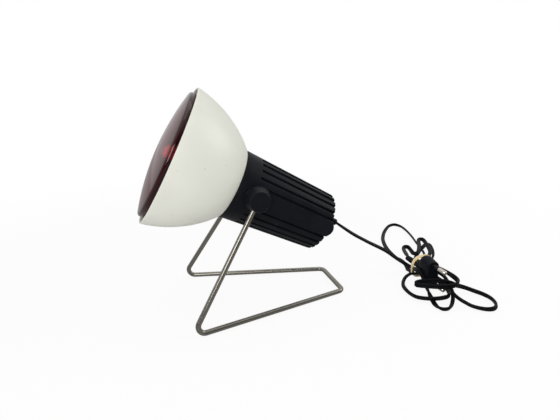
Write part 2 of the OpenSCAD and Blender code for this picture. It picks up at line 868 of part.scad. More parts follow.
module cord_run() {
    route = concat([cord_exit], cord_route);
    n = len(route);
    color("#161619") polyhedron(
        points = [for (i = [0:n - 1]) each route_ring(route, i)],
        faces = concat(
            [[for (k = [0:cord_sides - 1]) k]],
            [for (i = [0:n - 2], k = [0:cord_sides - 1]) let (m = (k + 1) % cord_sides) [
                i * cord_sides + m,
                i * cord_sides + k,
                (i + 1) * cord_sides + k,
                (i + 1) * cord_sides + m
            ]],
            [[for (k = [cord_sides - 1:-1:0]) (n - 1) * cord_sides + k]]
        ),
        convexity = 6
    );
}

module core_shape(h) {
    lozenge(core_a, core_b, core_r, h);
}

module mid_shape(h) {
    lozenge(mid_a, mid_b, mid_r, h);
}

// The band's outline, seen along it, less an inset
module band_outline(inset) {
    translate([core_a[0], band_out_h / 2]) rounded_rect(band_out_w - 2 * inset, band_out_h - 2 * inset, band_r - inset);
}

// Strands that pass through the tie
module hank_core() {
    color("#19191c") core_shape(core_h);
}

// Small loops beyond the tie
module hank_mid() {
    color("#19191c") difference() {
        mid_shape(mid_h);
        translate([0, 0, -over]) core_shape(core_h + 2 * over);
    }
}

// The long loop beyond the tie
module hank_far() {
    color("#19191c") difference() {
        lozenge(far_a, far_b, far_r, strand_h);
        translate([0, 0, -over]) mid_shape(core_h);
        translate([0, 0, -over]) core_shape(core_h + 2 * over);
    }
}

// The three loops round the plug
module left_shape(h) {
    translate(left_c) cylinder(h = h, r = left_r);
}

module front_shape(h) {
    lozenge(fore_a, fore_b, fore_r, h);
}

module hank_left() {
    color("#19191c") difference() {
        left_shape(loop_h);
        translate([plug_x - plug_t / 2 - loose, plug_face_y - loose, -over])
            cube([plug_t + 2 * loose, plug_l + plug_cone_l + 2 * loose, plug_w]);
    }
}

module hank_front() {
    color("#19191c") difference() {
        front_shape(loop_h);
        translate([0, 0, -over]) left_shape(loop_h + 2 * over);
    }
}

module hank_right() {
    color("#19191c") lozenge(right_a, right_b, right_r, strand_h);
}

// Rubber band that ties the hank
module hank_band() {
    color("#cda563") translate([0, band_y, 0]) rotate([90, 0, 0]) linear_extrude(band_w) difference() {
        band_outline(0);
        band_outline(band_t);
    }
}

module plug_front(h) {
    linear_extrude(h) rounded_rect(plug_t, plug_w, plug_round);
}

module plug_body() {
    color("#1c1c1f") translate([plug_x, plug_face_y, plug_z]) outwards() difference() {
        union() {
            plug_front(plug_l);
            hull() {
                translate([0, 0, plug_l - 0.01]) plug_front(0.01);
                translate([0, 0, plug_l + plug_cone_l - 0.5]) cylinder(h = 0.5, r = plug_tail_r + 2, $fn = 32);
            }
        }
        for (s = [-1, 1]) translate([0, s * pin_pitch / 2, -over])
            cylinder(h = pin_root + over, r = pin_root_r + fit);
    }
}

module plug_pins() {
    color("#c9c4b4") translate([plug_x, plug_face_y, plug_z]) outwards() for (s = [-1, 1])
        translate([0, s * pin_pitch / 2, -pin_l]) {
            translate([0, 0, 1]) cylinder(h = pin_l - 1 - fit, r = pin_d / 2);
            cylinder(h = 1, r1 = pin_d / 2 - 1, r2 = pin_d / 2);
            translate([0, 0, pin_l - over]) cylinder(h = pin_root + over - fit, r = pin_root_r);
        }
}

module plug_tail() {
    color("#1c1c1f") translate([plug_x, plug_back_y + plug_cone_l, plug_z]) outwards() {
        cylinder(h = plug_tail_l, r1 = plug_tail_r, r2 = cord_w / 2 + 0.4);
    }
}

wire_stand();
knob_near();
knob_far();
pivot_washers();
push_nuts();
housing();
pivot_bushes();
rear_cover();
rear_cover_screws();
shade();
shade_screws();
bulb_lens();
bulb_reflector();
bulb_collar();
bulb_cap();
bulb_insulator();
bulb_contact();
bulb_stem();
filament_leads();
filament();
lampholder_body();
lampholder_sleeve();
lampholder_tongue();
lampholder_bracket();
bracket_screws();
holder_screws();
terminals();
terminal_screws();
lead_brown();
lead_blue();
cord_relief();
cord_tail();
cord_clamp();
clamp_screws();
cord_run();
hank_core();
hank_mid();
hank_far();
hank_left();
hank_front();
hank_right();
hank_band();
plug_body();
plug_pins();
plug_tail();
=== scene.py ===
# Infrared heat lamp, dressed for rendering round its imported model.
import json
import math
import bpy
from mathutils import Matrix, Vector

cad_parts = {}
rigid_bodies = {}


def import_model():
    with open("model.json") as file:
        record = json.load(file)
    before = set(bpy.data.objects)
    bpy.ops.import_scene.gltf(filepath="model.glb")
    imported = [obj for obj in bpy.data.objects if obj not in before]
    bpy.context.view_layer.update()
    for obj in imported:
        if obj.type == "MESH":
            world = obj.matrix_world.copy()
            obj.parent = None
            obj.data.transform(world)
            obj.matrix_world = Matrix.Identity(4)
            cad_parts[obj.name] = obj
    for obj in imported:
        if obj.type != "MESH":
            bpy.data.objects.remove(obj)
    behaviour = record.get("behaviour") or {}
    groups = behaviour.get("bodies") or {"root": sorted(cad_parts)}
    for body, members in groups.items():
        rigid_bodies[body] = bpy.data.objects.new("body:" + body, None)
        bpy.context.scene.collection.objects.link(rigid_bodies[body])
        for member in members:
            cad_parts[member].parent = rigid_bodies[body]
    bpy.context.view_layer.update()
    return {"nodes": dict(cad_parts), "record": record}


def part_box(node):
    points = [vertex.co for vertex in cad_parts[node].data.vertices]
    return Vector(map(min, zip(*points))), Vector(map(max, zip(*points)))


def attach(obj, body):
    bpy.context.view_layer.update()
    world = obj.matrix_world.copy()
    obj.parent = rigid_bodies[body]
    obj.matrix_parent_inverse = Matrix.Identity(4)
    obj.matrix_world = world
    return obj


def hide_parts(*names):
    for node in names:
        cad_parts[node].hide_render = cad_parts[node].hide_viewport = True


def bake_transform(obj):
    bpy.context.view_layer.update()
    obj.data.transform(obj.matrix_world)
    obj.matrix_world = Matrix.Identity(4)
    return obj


bl_info = {
    "name": "Heat Lamp",
    "version": (1, 0, 0),
    "blender": (4, 5, 0),
    "location": "3D View > Sidebar > Heat Lamp",
    "description": "Builds a tilting heat lamp with its wire stand, bulb, cord and plug",
    "category": "Add Mesh",
}

import bmesh
import bpy
from bpy.props import FloatProperty, FloatVectorProperty, IntProperty, PointerProperty
from mathutils import Matrix, Vector

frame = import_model()

MM = 0.001
JOINT = frame["record"]["behaviour"]["joints"][0]
PIVOT = Vector(JOINT["pos_m"])
TILT = math.radians(28.5)

# The lamp's own frame: z forward along its axis from the tilt axis, x up
LAMP = Matrix(
    (
        (math.sin(TILT), 0, -math.cos(TILT), PIVOT.x),
        (0, 1, 0, 0),
        (math.cos(TILT), 0, math.sin(TILT), PIVOT.z),
        (0, 0, 0, 1),
    )
)
# Frames on the tilt axis whose z points outwards, towards the near and the far side
NEAR_SIDE = Matrix(((1, 0, 0, PIVOT.x), (0, 0, -1, 0), (0, 1, 0, PIVOT.z), (0, 0, 0, 1)))
FAR_SIDE = Matrix(((1, 0, 0, PIVOT.x), (0, 0, 1, 0), (0, -1, 0, PIVOT.z), (0, 0, 0, 1)))

# Route of the cord in millimetres, from the strain relief to the plug's tail.
# The last number turns the flat cord: 90 lays its width level, 0 stands it on edge.
CORD_ROUTE = [
    # run from the strain relief to the tie
    (95.48, 0, 71.3, 90),
    (98.99, 0, 69.39, 90),
    (105.6, 0, 64.3, 99),
    (112.5, 0, 59, 107),
    (119, 0, 54.2, 112),
    (125.5, 0, 49.8, 112),
    (133, 0, 45.1, 112),
    (141.2, 0, 40, 113),
    (152.3, 0, 33.6, 117),
    (163.5, 0, 26.7, 122),
    (172.2, -1.2, 20, 121),
    (178.8, -4.2, 14.8, 104),
    (183.8, -8.4, 11.6, 98),
    (187.6, -12.8, 9.4, 92),
    # left loop in front of the tie
    (190.8, -17.6, 8, 90),
    (191.8, -22, 6.6, 96),
    (190, -25.8, 5.8, 104),
    (184.6, -26.8, 7.4, 110),
    (178, -27.4, 7.8, 116),
    (171.6, -29.4, 6.3, 122),
    (166, -33.6, 4, 143),
    (161.2, -41, 2.8, 168),
    (158.8, -50.2, 2.8, 190),
    (158.4, -59.4, 2.7, 205),
    (160, -68, 3.4, 211),
    (165.5, -75.5, 4.8, 209),
    (173, -80, 5.7, 203),
    (181, -80.5, 5.5, 196),
    (189.5, -77.5, 4.3, 192),
    (196, -70.5, 2.8, 190),
    (200, -61.5, 2.9, 184),
    (201.5, -51, 2.8, 175),
    (202, -40, 5, 171),
    (201.2, -29.5, 7.8, 170),
    (199.6, -20, 8.8, 170),
    # long loop beyond the tie
    (203, -10, 8, 178),
    (211, -0.6, 5.6, 190),
    (221, 9, 3.6, 193),
    (229, 17.5, 2.9, 181),
    (235, 27, 2.8, 164),
    (239.5, 37, 2.7, 151),
    (243.4, 48, 2.7, 147),
    (248, 62, 2.6, 146),
    (256.2, 84.5, 2.6, 146),
    (262.6, 106, 2.6, 144),
    (266, 122, 2.6, 143),
    (266.4, 134, 2.6, 144),
    (262, 141.6, 2.7, 149),
    (253.5, 139.6, 2.8, 163),
    (244.6, 132.6, 2.8, 193),
    (229, 115.5, 2.4, 232),
    (216.8, 97.8, 1.7, 264),
    (210.6, 86, 1.9, 282),
    (204.7, 72, 2, 289),
    (200.2, 58, 2, 290),
    (197.6, 46, 2, 288),
    (196.4, 33, 1.6, 269),
    (195.6, 19, 2.9, 190),
    (194.4, 7, 2.9, 168),
    # loop in front of the plug
    (191.2, -3, 2.4, 120),
    (187.4, -11, 2.9, 50),
    (186.4, -18.6, 6.8, 0),
    (184.4, -24.8, 11.4, 0),
    (181.8, -31, 14.6, 0),
    (180, -38, 17, 0),
    (179.6, -44, 16, 0),
    (179.3, -49, 12.8, 0),
    (179.1, -53.4, 8.8, 0),
    (178.4, -57.8, 5, 10),
    (177.4, -62.5, 3.6, 30),
    (174.8, -69.5, 1.9, 75),
    (171, -79.5, 1.6, 90),
    (168.6, -87.5, 2, 70),
    (169.8, -94, 2.5, 42),
    (175.6, -95.6, 2.7, 33),
    (182.6, -91, 2.7, 33),
    (190, -83.5, 2.7, 31),
    (197.2, -74.6, 2.8, 20),
    (202.8, -65.6, 2.9, 7),
    (205.8, -55, 2.9, -3),
    (206.8, -43, 2.9, -7),
    (206.2, -31.5, 2.9, -6),
    (204.2, -20.5, 4, -3),
    # right small loop beyond the tie
    (208.4, -11, 4, 1),
    (217.6, -3.4, 4.4, 8),
    (228, 3, 5, 14),
    (236.4, 11, 5.6, 14),
    (243.6, 21, 6.8, 6),
    (248.9, 31.6, 8.1, -9),
    (251.4, 38.6, 8.4, -31),
    (250.2, 42.6, 8.4, -61),
    (245.6, 40.6, 8.4, -91),
    (239.4, 36, 8.1, -102),
    (230, 29.8, 6.8, -95),
    (220.4, 21.6, 5.4, -79),
    (212.4, 12.4, 5.4, -59),
    (206, 2.6, 7.6, -46),
    (201.2, -6.4, 11.2, -49),
    (199.6, -14.4, 14.4, -63),
    # strand round the front of the plug, between its pins, and back
    (200.6, -23.6, 16.8, -78),
    (202.4, -34.6, 17.4, -89),
    (204.2, -46, 17.6, -88),
    (206.2, -57.6, 16.6, -65),
    (206, -68, 15.6, -27),
    (201.6, -75, 15.6, 0),
    (193, -77.4, 14.8, 0),
    (183.4, -74, 14, 0),
    (175.6, -68.6, 13.2, 0),
    (169.4, -64.4, 12.8, 0),
    (164.8, -62, 13, 0),
    (163.4, -59.6, 12.9, 0),
    (165, -57, 13.3, 0),
    (170.4, -57.4, 14.1, 0),
    (176.6, -60, 14.8, 0),
    (182.8, -62.4, 15.6, 0),
    (189.6, -66, 15.4, 0),
    (196.6, -69.4, 14, 0),
    (203.8, -71, 10.8, 14),
    # long loop to the right of the plug
    (210.8, -69.6, 7.6, 22),
    (217.4, -70.6, 5, 23),
    (223, -75.4, 3.2, 20),
    (227, -83.2, 2.8, 21),
    (228, -92.8, 2.8, 24),
    (224, -103.2, 2.8, 17),
    (216, -109.2, 2.9, -5),
    (207.8, -107.4, 2.7, -28),
    (201, -100, 2.6, -38),
    (196.2, -95.2, 4.6, -39),
    (191.8, -90, 7.4, -34),
    (190.6, -84.2, 9.2, -24),
    (192.6, -77, 9.8, -12),
    (196.6, -69.4, 9.4, -4),
    (201.6, -61.5, 9, -4),
    (206, -52, 9, -10),
    (208.6, -42, 9, -15),
    (208.6, -31, 9, -10),
    # tall small loop beyond the tie
    (207, -20.4, 9.4, 11),
    (212, -9.8, 10, 39),
    (220, -1.6, 12, 56),
    (228.2, 6.6, 13.8, 56),
    (234.4, 17.6, 14.2, 49),
    (239.8, 30.6, 14.2, 44),
    (243.8, 40.6, 14.2, 40),
    (244.8, 46.8, 14.2, 40),
    (240.6, 47, 14.2, 54),
    (235.4, 40.6, 14.2, 73),
    (229.6, 31.2, 14.2, 78),
    (223.3, 22.1, 14.2, 70),
    (217.2, 14.2, 13.8, 61),
    # left small loop, which ends in the plug's tail
    (212.4, 10, 13.2, 57),
    (209, 12.4, 12.6, 48),
    (210.6, 18.6, 12.4, 34),
    (213, 26, 12.4, 24),
    (214.4, 33, 12.4, 23),
    (210.8, 34.4, 12.5, 36),
    (205.6, 28.6, 12.9, 61),
    (201, 19.4, 13.6, 80),
    (196.8, 10, 14.8, 80),
    (192.6, 1.6, 16.2, 57),
    (189.8, -3, 16.9, 0),
    (188.6, -7.4, 17, 0),
    (188.5, -11, 17, 0),
]


# ---- sizes and colours ----------------------------------------------------


def length(label, text, default):
    return FloatProperty(
        name=label, description=text, default=default, min=0, unit="LENGTH", subtype="DISTANCE"
    )


def colour(label, text, default):
    return FloatVectorProperty(
        name=label, description=text, default=default, size=3, min=0, max=1, subtype="COLOR"
    )


class LampSizes(bpy.types.PropertyGroup):
    """Sizes of the lamp's visible pieces"""

    wire_diameter: length("Wire diameter", "Diameter of the stand's wire", 5 * MM)
    bend_radius: length("Bend radius", "Radius of the stand's bends, to the centre line", 7 * MM)
    groove_width: length("Groove width", "Width of the housing's cooling grooves", 2.4 * MM)
    groove_depth: length("Groove depth", "Depth of the housing's cooling grooves", 2 * MM)
    shade_wall: length("Shade wall", "Thickness of the shade", 2 * MM)
    shoulder_radius: length("Lens shoulder", "Radius of the round edge of the bulb's front", 9 * MM)
    cord_width: length("Cord width", "Width of the flat twin cord", 5.2 * MM)
    cord_thickness: length("Cord thickness", "Thickness of the flat twin cord", 2.7 * MM)
    band_width: length("Band width", "Width of one turn of the rubber band", 2.8 * MM)
    band_thickness: length("Band thickness", "Thickness of the rubber band", 1.1 * MM)
    turned_steps: IntProperty(
        name="Steps round", description="Faces round a turned piece", default=144, min=24, max=360
    )


class LampColours(bpy.types.PropertyGroup):
    """Colours of the lamp's materials"""

    shade: colour("Shade", "Cream plastic of the shade", (0.74, 0.745, 0.665))
    housing: colour("Housing", "Black plastic of the housing and knobs", (0.0052, 0.0057, 0.0086))
    steel: colour("Steel", "Drawn steel of the stand", (0.3, 0.285, 0.25))
    lens: colour("Lens", "Ruby glass of the bulb", (0.06, 0.0015, 0.003))
    cord: colour("Cord", "Black covering of the cord", (0.0032, 0.0034, 0.0045))
    band: colour("Band", "Rubber of the band", (0.84, 0.66, 0.36))
    floor: colour("Floor", "Floor and background", (0.9, 0.9, 0.9))


# ---- materials ------------------------------------------------------------


class Link:
    """An output socket of a material that takes part in Python expressions."""

    def __init__(self, net, socket):
        self.net = net
        self.socket = socket

    def math(self, operation, first, second):
        return self.net.node("ShaderNodeMath", {"operation": operation}, {0: first, 1: second})

    def __add__(self, other):
        return self.math("ADD", self, other)

    __radd__ = __add__

    def __sub__(self, other):
        return self.math("SUBTRACT", self, other)

    def __rsub__(self, other):
        return self.math("SUBTRACT", other, self)

    def __mul__(self, other):
        return self.math("MULTIPLY", self, other)

    __rmul__ = __mul__

    def __truediv__(self, other):
        return self.math("DIVIDE", self, other)

    def most(self, other):
        return self.math("MAXIMUM", self, other)

    def step(self, low, high):
        """0 below low, 1 above high, smooth between."""
        return self.net.node(
            "ShaderNodeMapRange",
            {"interpolation_type": "SMOOTHSTEP"},
            {"Value": self, "From Min": low, "From Max": high, "To Min": 0.0, "To Max": 1.0},
        )

    def dot(self, direction):
        inputs = {0: self, 1: direction}
        return self.net.node("ShaderNodeVectorMath", {"operation": "DOT_PRODUCT"}, inputs, "Value")

    def scaled(self, factors):
        inputs = {0: self, 1: factors}
        return self.net.node("ShaderNodeVectorMath", {"operation": "MULTIPLY"}, inputs, "Vector")


class Net:
    """The node tree of one material or of the world."""

    def __init__(self, owner):
        owner.use_nodes = True
        self.tree = owner.node_tree
        self.tree.nodes.clear()

    def node(self, kind, settings, inputs, output=0):
        """Adds a node, sets its settings, then the values or links of its sockets; gives its output."""
        made = self.tree.nodes.new(kind)
        for key, value in settings.items():
            setattr(made, key, value)
        for key, value in inputs.items():
            socket = made.inputs[key]
            if isinstance(value, Link):
                self.tree.links.new(value.socket, socket)
            elif isinstance(value, tuple) and socket.type == "RGBA":
                socket.default_value = (*value, 1)
            else:
                socket.default_value = value
        return Link(self, made.outputs[output]) if made.outputs else None

    def mix(self, amount, first, second):
        inputs = {0: amount, 6: first, 7: second}
        return self.node("ShaderNodeMix", {"data_type": "RGBA"}, inputs, 2)

    def place(self):
        return self.node("ShaderNodeTexCoord", {}, {}, "Object")

    def along(self):
        """Coordinates that follow a swept piece: round its section, and its length in steps of 0.1 m."""
        return self.node("ShaderNodeAttribute", {"attribute_name": "grain"}, {}, "Vector")

    def noise(self, vector, size, detail=2.0, rough=0.5, swirl=0.0):
        inputs = {"Vector": vector, "Scale": 1 / size, "Detail": detail}
        inputs.update({"Roughness": rough, "Distortion": swirl})
        return self.node("ShaderNodeTexNoise", {}, inputs, 0)

    def patches(self, amount, shade, darkest, lightest):
        """A colour that wanders between a darker and a lighter tint of itself."""
        return self.mix(amount.step(0.3, 0.7), tint(shade, darkest), tint(shade, lightest))

    def bump(self, height, distance, below=None):
        inputs = {"Height": height, "Distance": distance}
        if below:
            inputs["Normal"] = below
        return self.node("ShaderNodeBump", {}, inputs)


def tint(shade, factor):
    """A colour made lighter or darker."""
    return tuple(min(1.0, c * factor) for c in shade)


def surface(name, build, **constants):
    """A material whose shader takes its varying inputs from build and its constants as given."""
    material = bpy.data.materials.new(name)
    net = Net(material)
    inputs = {}
    for key, value in constants.items():
        inputs[key.replace("_", " ").title().replace("Ior", "IOR")] = value
    inputs.update(build(net))
    shader = net.node("ShaderNodeBsdfPrincipled", {}, inputs)
    net.node("ShaderNodeOutputMaterial", {}, {"Surface": shader})
    return material


def moulded(name, shade, rough, spread, patch, grain, relief, **constants):
    """Plastic, rubber, glass or metal with soft patches and a fine grain."""

    def build(net):
        place = net.place()
        broad = net.noise(place, patch, 3.0)
        fine = net.noise(place, grain, 2.0, 0.6)
        wave = net.noise(place, 3.5 * MM, 1.0)
        return {
            "Base Color": net.patches(broad, shade, 1 - spread, 1 + spread),
            "Roughness": rough + (fine - 0.5) * 0.16 + (broad - 0.5) * 0.12,
            "Normal": net.bump(fine, relief, below=net.bump(wave, relief * 2)),
        }

    return surface(name, build, **constants)


def shade_plastic(shade):
    """Cream plastic with a satin skin, faint clouding and the odd dark speck."""

    def build(net):
        place = net.place()
        cloud = net.noise(place, 45 * MM, 4.0, 0.55, 0.4)
        fine = net.noise(place, 0.7 * MM, 2.0)
        peel = net.noise(place, 5 * MM, 1.5)
        base = net.mix(cloud.step(0.3, 0.72), tint(shade, 0.965), tint(shade, 1.02))
        mark = net.noise(place, 3.2 * MM, 0.0).step(0.83, 0.86)
        base = net.mix(mark * 0.35, base, (0.34, 0.3, 0.24))
        return {
            "Base Color": base,
            "Roughness": 0.36 + (fine - 0.5) * 0.1 + (cloud - 0.5) * 0.14,
            "Normal": net.bump(fine, 0.006 * MM, below=net.bump(peel, 0.03 * MM)),
        }

    return surface("shade_plastic", build, ior=1.46)


def grained_plastic(name, shade, grain, relief, rough, gloss=0.12):
    """Black plastic with a spark-eroded grain that is worn shiny in patches."""

    def build(net):
        place = net.place()
        inputs = {"Vector": place, "Scale": 1 / grain}
        cells = net.node("ShaderNodeTexVoronoi", {"feature": "SMOOTH_F1"}, inputs, 0)
        fine = net.noise(place, grain * 0.7, 2.0, 0.6)
        broad = net.noise(place, 22 * MM, 3.0)
        base = net.patches(broad, shade, 0.85, 1.2)
        dust = net.noise(place, 1.6 * MM, 1.0).step(0.77, 0.83)
        base = net.mix(dust * 0.25, base, (0.28, 0.28, 0.27))
        pits = cells * 0.7 + fine * 0.6
        return {
            "Base Color": base,
            "Roughness": rough + (fine - 0.5) * 0.16 + (broad - 0.5) * 0.14,
            "Normal": net.bump(pits, relief),
        }

    return surface(name, build, ior=1.5, specular_ior_level=gloss)


def drawn_steel(shade):
    """Bright-drawn wire: long fine draw lines, tarnish and a little rust in the bends."""

    def build(net):
        run = net.along()
        lines = net.noise(run.scaled((1, 1, 0.05)), 0.05, 2.0, 0.6)
        broad = net.noise(run.scaled((0.3, 0.3, 1)), 0.9, 4.0, 0.6)
        base = net.mix(lines.step(0.25, 0.75), tint(shade, 0.72), tint(shade, 1.2))
        base = net.mix(broad.step(0.52, 0.72) * 0.55, base, (0.2, 0.165, 0.12))
        return {
            "Base Color": base,
            "Roughness": 0.27 + (lines - 0.5) * 0.2 + broad.step(0.5, 0.75) * 0.14,
            "Normal": net.bump(lines, 0.006 * MM),
        }

    return surface("drawn_steel", build, metallic=1.0)


def ruby_glass(shade):
    """Red glass of the bulb's front, with painted shade and painted light: darker at its round edge, and a
    painted glow emitted over the whole front, with a lightened colour and the strongest glow in a wedge where
    light would be caught inside.
    """
    # Radii of the painted shade at the round edge; reach, lean and softness of the wedge of painted glow
    painted_shade_reach = (53.5 * MM, 57 * MM)
    painted_glow_reach = (30 * MM, 66 * MM)
    painted_glow_lean = 0.17
    painted_glow_softness = (0.001, 0.016)

    def build(net):
        place = net.place()
        # distances from the bulb's axis: towards its top, towards the near side and outwards
        up = place.dot(LAMP.col[0].xyz) - LAMP.col[0].xyz.dot(PIVOT)
        near = 0 - place.dot((0.0, 1.0, 0.0))
        square = up * up + near * near
        out = square.math("POWER", square, 0.5)
        broad = net.noise(place, 30 * MM, 2.0)
        fine = net.noise(place, 6 * MM, 2.0)
        base = net.patches(broad, shade, 0.85, 1.15)
        # The wedge of painted glow, which stands in for light caught inside the bulb
        aside = up / near.most(1 * MM) - painted_glow_lean
        painted_glow_wedge = (1 - (aside * aside).step(*painted_glow_softness)) * out.step(*painted_glow_reach)
        # Painted shade: colour and glow are darkened towards the round edge
        edge = out.step(*painted_shade_reach)
        # Streaks that break up the painted glow in the wedge
        painted_glow_streaks = net.noise(place, 1.6 * MM, 1.0).step(0.4, 0.7) * 0.5 + 0.5
        # The colour is lightened in the wedge as painted light, and darkened at the round edge as painted
        # shade
        base = net.mix(edge, net.mix(painted_glow_wedge, base, tint(shade, 8)), tint(shade, 0.4))
        # Painted glow: a faint emission over the whole front, weaker at the round edge
        glow = net.mix(edge, (0.032, 0.003, 0.006), (0.008, 0.0006, 0.001))
        return {
            "Base Color": base,
            "Emission Color": net.mix(painted_glow_wedge * painted_glow_streaks * (1 - edge * 0.75), glow, (0.36, 0.03, 0.035)),
            "Roughness": 0.05 + broad * 0.05,
            "Normal": net.bump(fine, 0.02 * MM),
        }

    # The emission here is the painted glow
    return surface("ruby_glass", build, transmission_weight=1.0, ior=1.45, emission_strength=1.0)


def pins_dark_at_root(bright, dark, edge):
    """Nickel-plated pins, black and not metallic over their roots, behind edge along Y."""

    def build(net):
        place = net.place()
        blur = 0.2 * MM
        # Black over the roots, bright metal beyond
        metal_part = 1 - place.dot((0.0, 1.0, 0.0)).step(edge - blur, edge + blur)
        fine = net.noise(place, 0.3 * MM, 2.0)
        broad = net.noise(place, 8 * MM, 3.0)
        return {
            "Base Color": net.mix(metal_part, dark, net.patches(broad, bright, 0.9, 1.08)),
            "Metallic": metal_part,
            "Roughness": 0.4 - metal_part * 0.17 + (fine - 0.5) * 0.12,
            "Normal": net.bump(fine, 0.005 * MM),
        }

    return surface("pins_dark_at_root", build, specular_ior_level=0.2)


def twin_flex(shade):
    """Soft black covering of the cord, with faint cross marks from its winding."""

    def build(net):
        run = net.along()
        rings = net.noise(run.scaled((0.2, 0.2, 1)), 0.012, 2.0)
        place = net.place()
        fine = net.noise(place, 0.5 * MM, 2.0)
        broad = net.noise(place, 14 * MM, 2.0)
        return {
            "Base Color": net.patches(broad, shade, 0.75, 1.4),
            "Roughness": 0.4 + (rings - 0.5) * 0.2 + (broad - 0.5) * 0.16,
            "Normal": net.bump(fine, 0.012 * MM, below=net.bump(rings, 0.05 * MM)),
        }

    return surface("twin_flex", build, ior=1.5, specular_ior_level=0.09)


# ---- shapes ---------------------------------------------------------------


def circle(radius, count):
    """Points of a circle."""
    turns = [2 * math.pi * k / count for k in range(count)]
    return [(radius * math.cos(a), radius * math.sin(a)) for a in turns]


def rounded(corners, steps=5):
    """A closed outline of corners (x, y, radius), with each corner rounded off."""
    out = []
    for i, (x, y, radius) in enumerate(corners):
        here = Vector((x, y))
        back = Vector(corners[i - 1][:2]) - here
        on = Vector(corners[(i + 1) % len(corners)][:2]) - here
        if radius <= 0:
            out.append((x, y))
            continue
        half = back.angle(on) / 2
        cut = min(radius / math.tan(half), 0.49 * back.length, 0.49 * on.length)
        radius = cut * math.tan(half)
        back.normalize()
        on.normalize()
        centre = here + (back + on).normalized() * radius / math.sin(half)
        first, last = here + back * cut - centre, here + on * cut - centre
        start = math.atan2(first.y, first.x)
        sweep = (math.atan2(last.y, last.x) - start + math.pi) % (2 * math.pi) - math.pi
        for k in range(steps + 1):
            a = start + sweep * k / steps
            out.append((centre.x + radius * math.cos(a), centre.y + radius * math.sin(a)))
    return out


def piece(name, verts, faces, material, body, replaces=(), sharp=35, grain=None):
    """A mesh object with outward normals that rides on a body."""
    mesh = bpy.data.meshes.new(name)
    mesh.from_pydata([tuple(v) for v in verts], [], faces)
    shape = bmesh.new()
    shape.from_mesh(mesh)
    bmesh.ops.recalc_face_normals(shape, faces=shape.faces)
    shape.to_mesh(mesh)
    shape.free()
    mesh.shade_smooth()
    mesh.set_sharp_from_angle(angle=math.radians(sharp))
    if grain:
        layer = mesh.attributes.new("grain", "FLOAT_VECTOR", "POINT")
        layer.data.foreach_set("vector", [c for v in grain for c in v])
    mesh.materials.append(material)
    made = bpy.data.objects.new(name, mesh)
    bpy.context.scene.collection.objects.link(made)
    if body:
        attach(made, body)
    if replaces:
        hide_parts(*replaces)
    return made


def loft(rings, closed=False):
    """Vertices and faces of rings of equal length, which are capped or joined in a loop."""
    n, count = len(rings), len(rings[0])
    faces = []
    for i in range(n if closed else n - 1):
        a, b = i * count, (i + 1) % n * count
        faces += [(a + k, a + (k + 1) % count, b + (k + 1) % count, b + k) for k in range(count)]
    if not closed:
        faces.append(list(range(count))[::-1])
        faces.append([(n - 1) * count + k for k in range(count)])
    return [v for ring in rings for v in ring], faces


def turned(outline, place, count, start=0):
    """An outline of (radius, height) in millimetres, turned round the z axis of place.

    start is the number of its first vertex.
    """
    verts, faces, rows = [], [], []
    for r, h in outline:
        if r < 1e-6:
            rows.append([start + len(verts)])
            verts.append(place @ Vector((0, 0, h * MM)))
            continue
        rows.append([start + len(verts) + k for k in range(count)])
        verts += [place @ Vector((x, y, h * MM)) for x, y in circle(r * MM, count)]
    for a, b in zip(rows, rows[1:] + rows[:1]):
        for k in range(count):
            m = (k + 1) % count
            quad = [a[k % len(a)], a[m % len(a)], b[m % len(b)], b[k % len(b)]]
            face = list(dict.fromkeys(quad))
            if len(face) > 2:
                faces.append(face)
    return verts, faces


def swept(points, section, sides, closed=False):
    """Rings of a flat section (u, v) along points, and the coordinates that follow them.

    sides holds the direction of u at each point, or only at the first one.
    """
    rings, grain, run = [], [], 0.0
    n = len(points)
    side = Vector(sides[0])
    for i, p in enumerate(points):
        before = points[i - 1] if closed or i else p
        after = points[(i + 1) % n] if closed or i < n - 1 else p
        along = (after - before).normalized()
        side = Vector(sides[i]) if len(sides) > 1 else side
        side = (side - along * side.dot(along)).normalized()
        up = along.cross(side)
        rings.append([p + side * u + up * v for u, v in section])
        run += (p - points[i - 1]).length if i else 0
        grain += [(x, y, run / 0.1) for x, y in circle(1, len(section))]
    return rings, grain


def bent(points, radii, steps=10):
    """A path through points with its inner corners rounded to radii."""
    out = [points[0]]
    for before, here, after, radius in zip(points, points[1:], points[2:], radii):
        back, on = (before - here).normalized(), (after - here).normalized()
        half = back.angle(on) / 2
        centre = here + (back + on).normalized() * radius / math.sin(half)
        first = here + back * radius / math.tan(half) - centre
        last = here + on * radius / math.tan(half) - centre
        for k in range(steps + 1):
            out.append(centre + first.slerp(last, k / steps).normalized() * radius)
    return [*out, points[-1]]


def curve_through(rows, parts=8):
    """A smooth curve through rows of numbers."""
    rows = [Vector(r) for r in rows]
    rows = [2 * rows[0] - rows[1], *rows, 2 * rows[-1] - rows[-2]]
    out = []
    for a, b, c, d in zip(rows, rows[1:], rows[2:], rows[3:]):
        for k in range(parts):
            t = k / parts
            square = (2 * a - 5 * b + 4 * c - d) * t * t
            cube = (3 * b - a - 3 * c + d) * t**3
            out.append(0.5 * (2 * b + (c - a) * t + square + cube))
    return [*out, rows[-2]]


def evenly(rows, step):
    """The rows of a curve, spread at equal steps of the length that their first three numbers run."""
    runs = [0.0]
    for a, b in zip(rows, rows[1:]):
        runs.append(runs[-1] + (b.xyz - a.xyz).length)
    count = max(2, round(runs[-1] / step))
    out, i = [], 0
    for k in range(count + 1):
        want = runs[-1] * k / count
        while i < len(rows) - 2 and runs[i + 1] < want:
            i += 1
        out.append(rows[i].lerp(rows[i + 1], (want - runs[i]) / (runs[i + 1] - runs[i])))
    return out


# ---- operators ------------------------------------------------------------


class LampPiece:
    """What the lamp's operators share"""

    bl_options = {"REGISTER", "UNDO"}

    def sizes(self, context):
        return context.scene.lamp_sizes

    def colours(self, context):
        return context.scene.lamp_colours


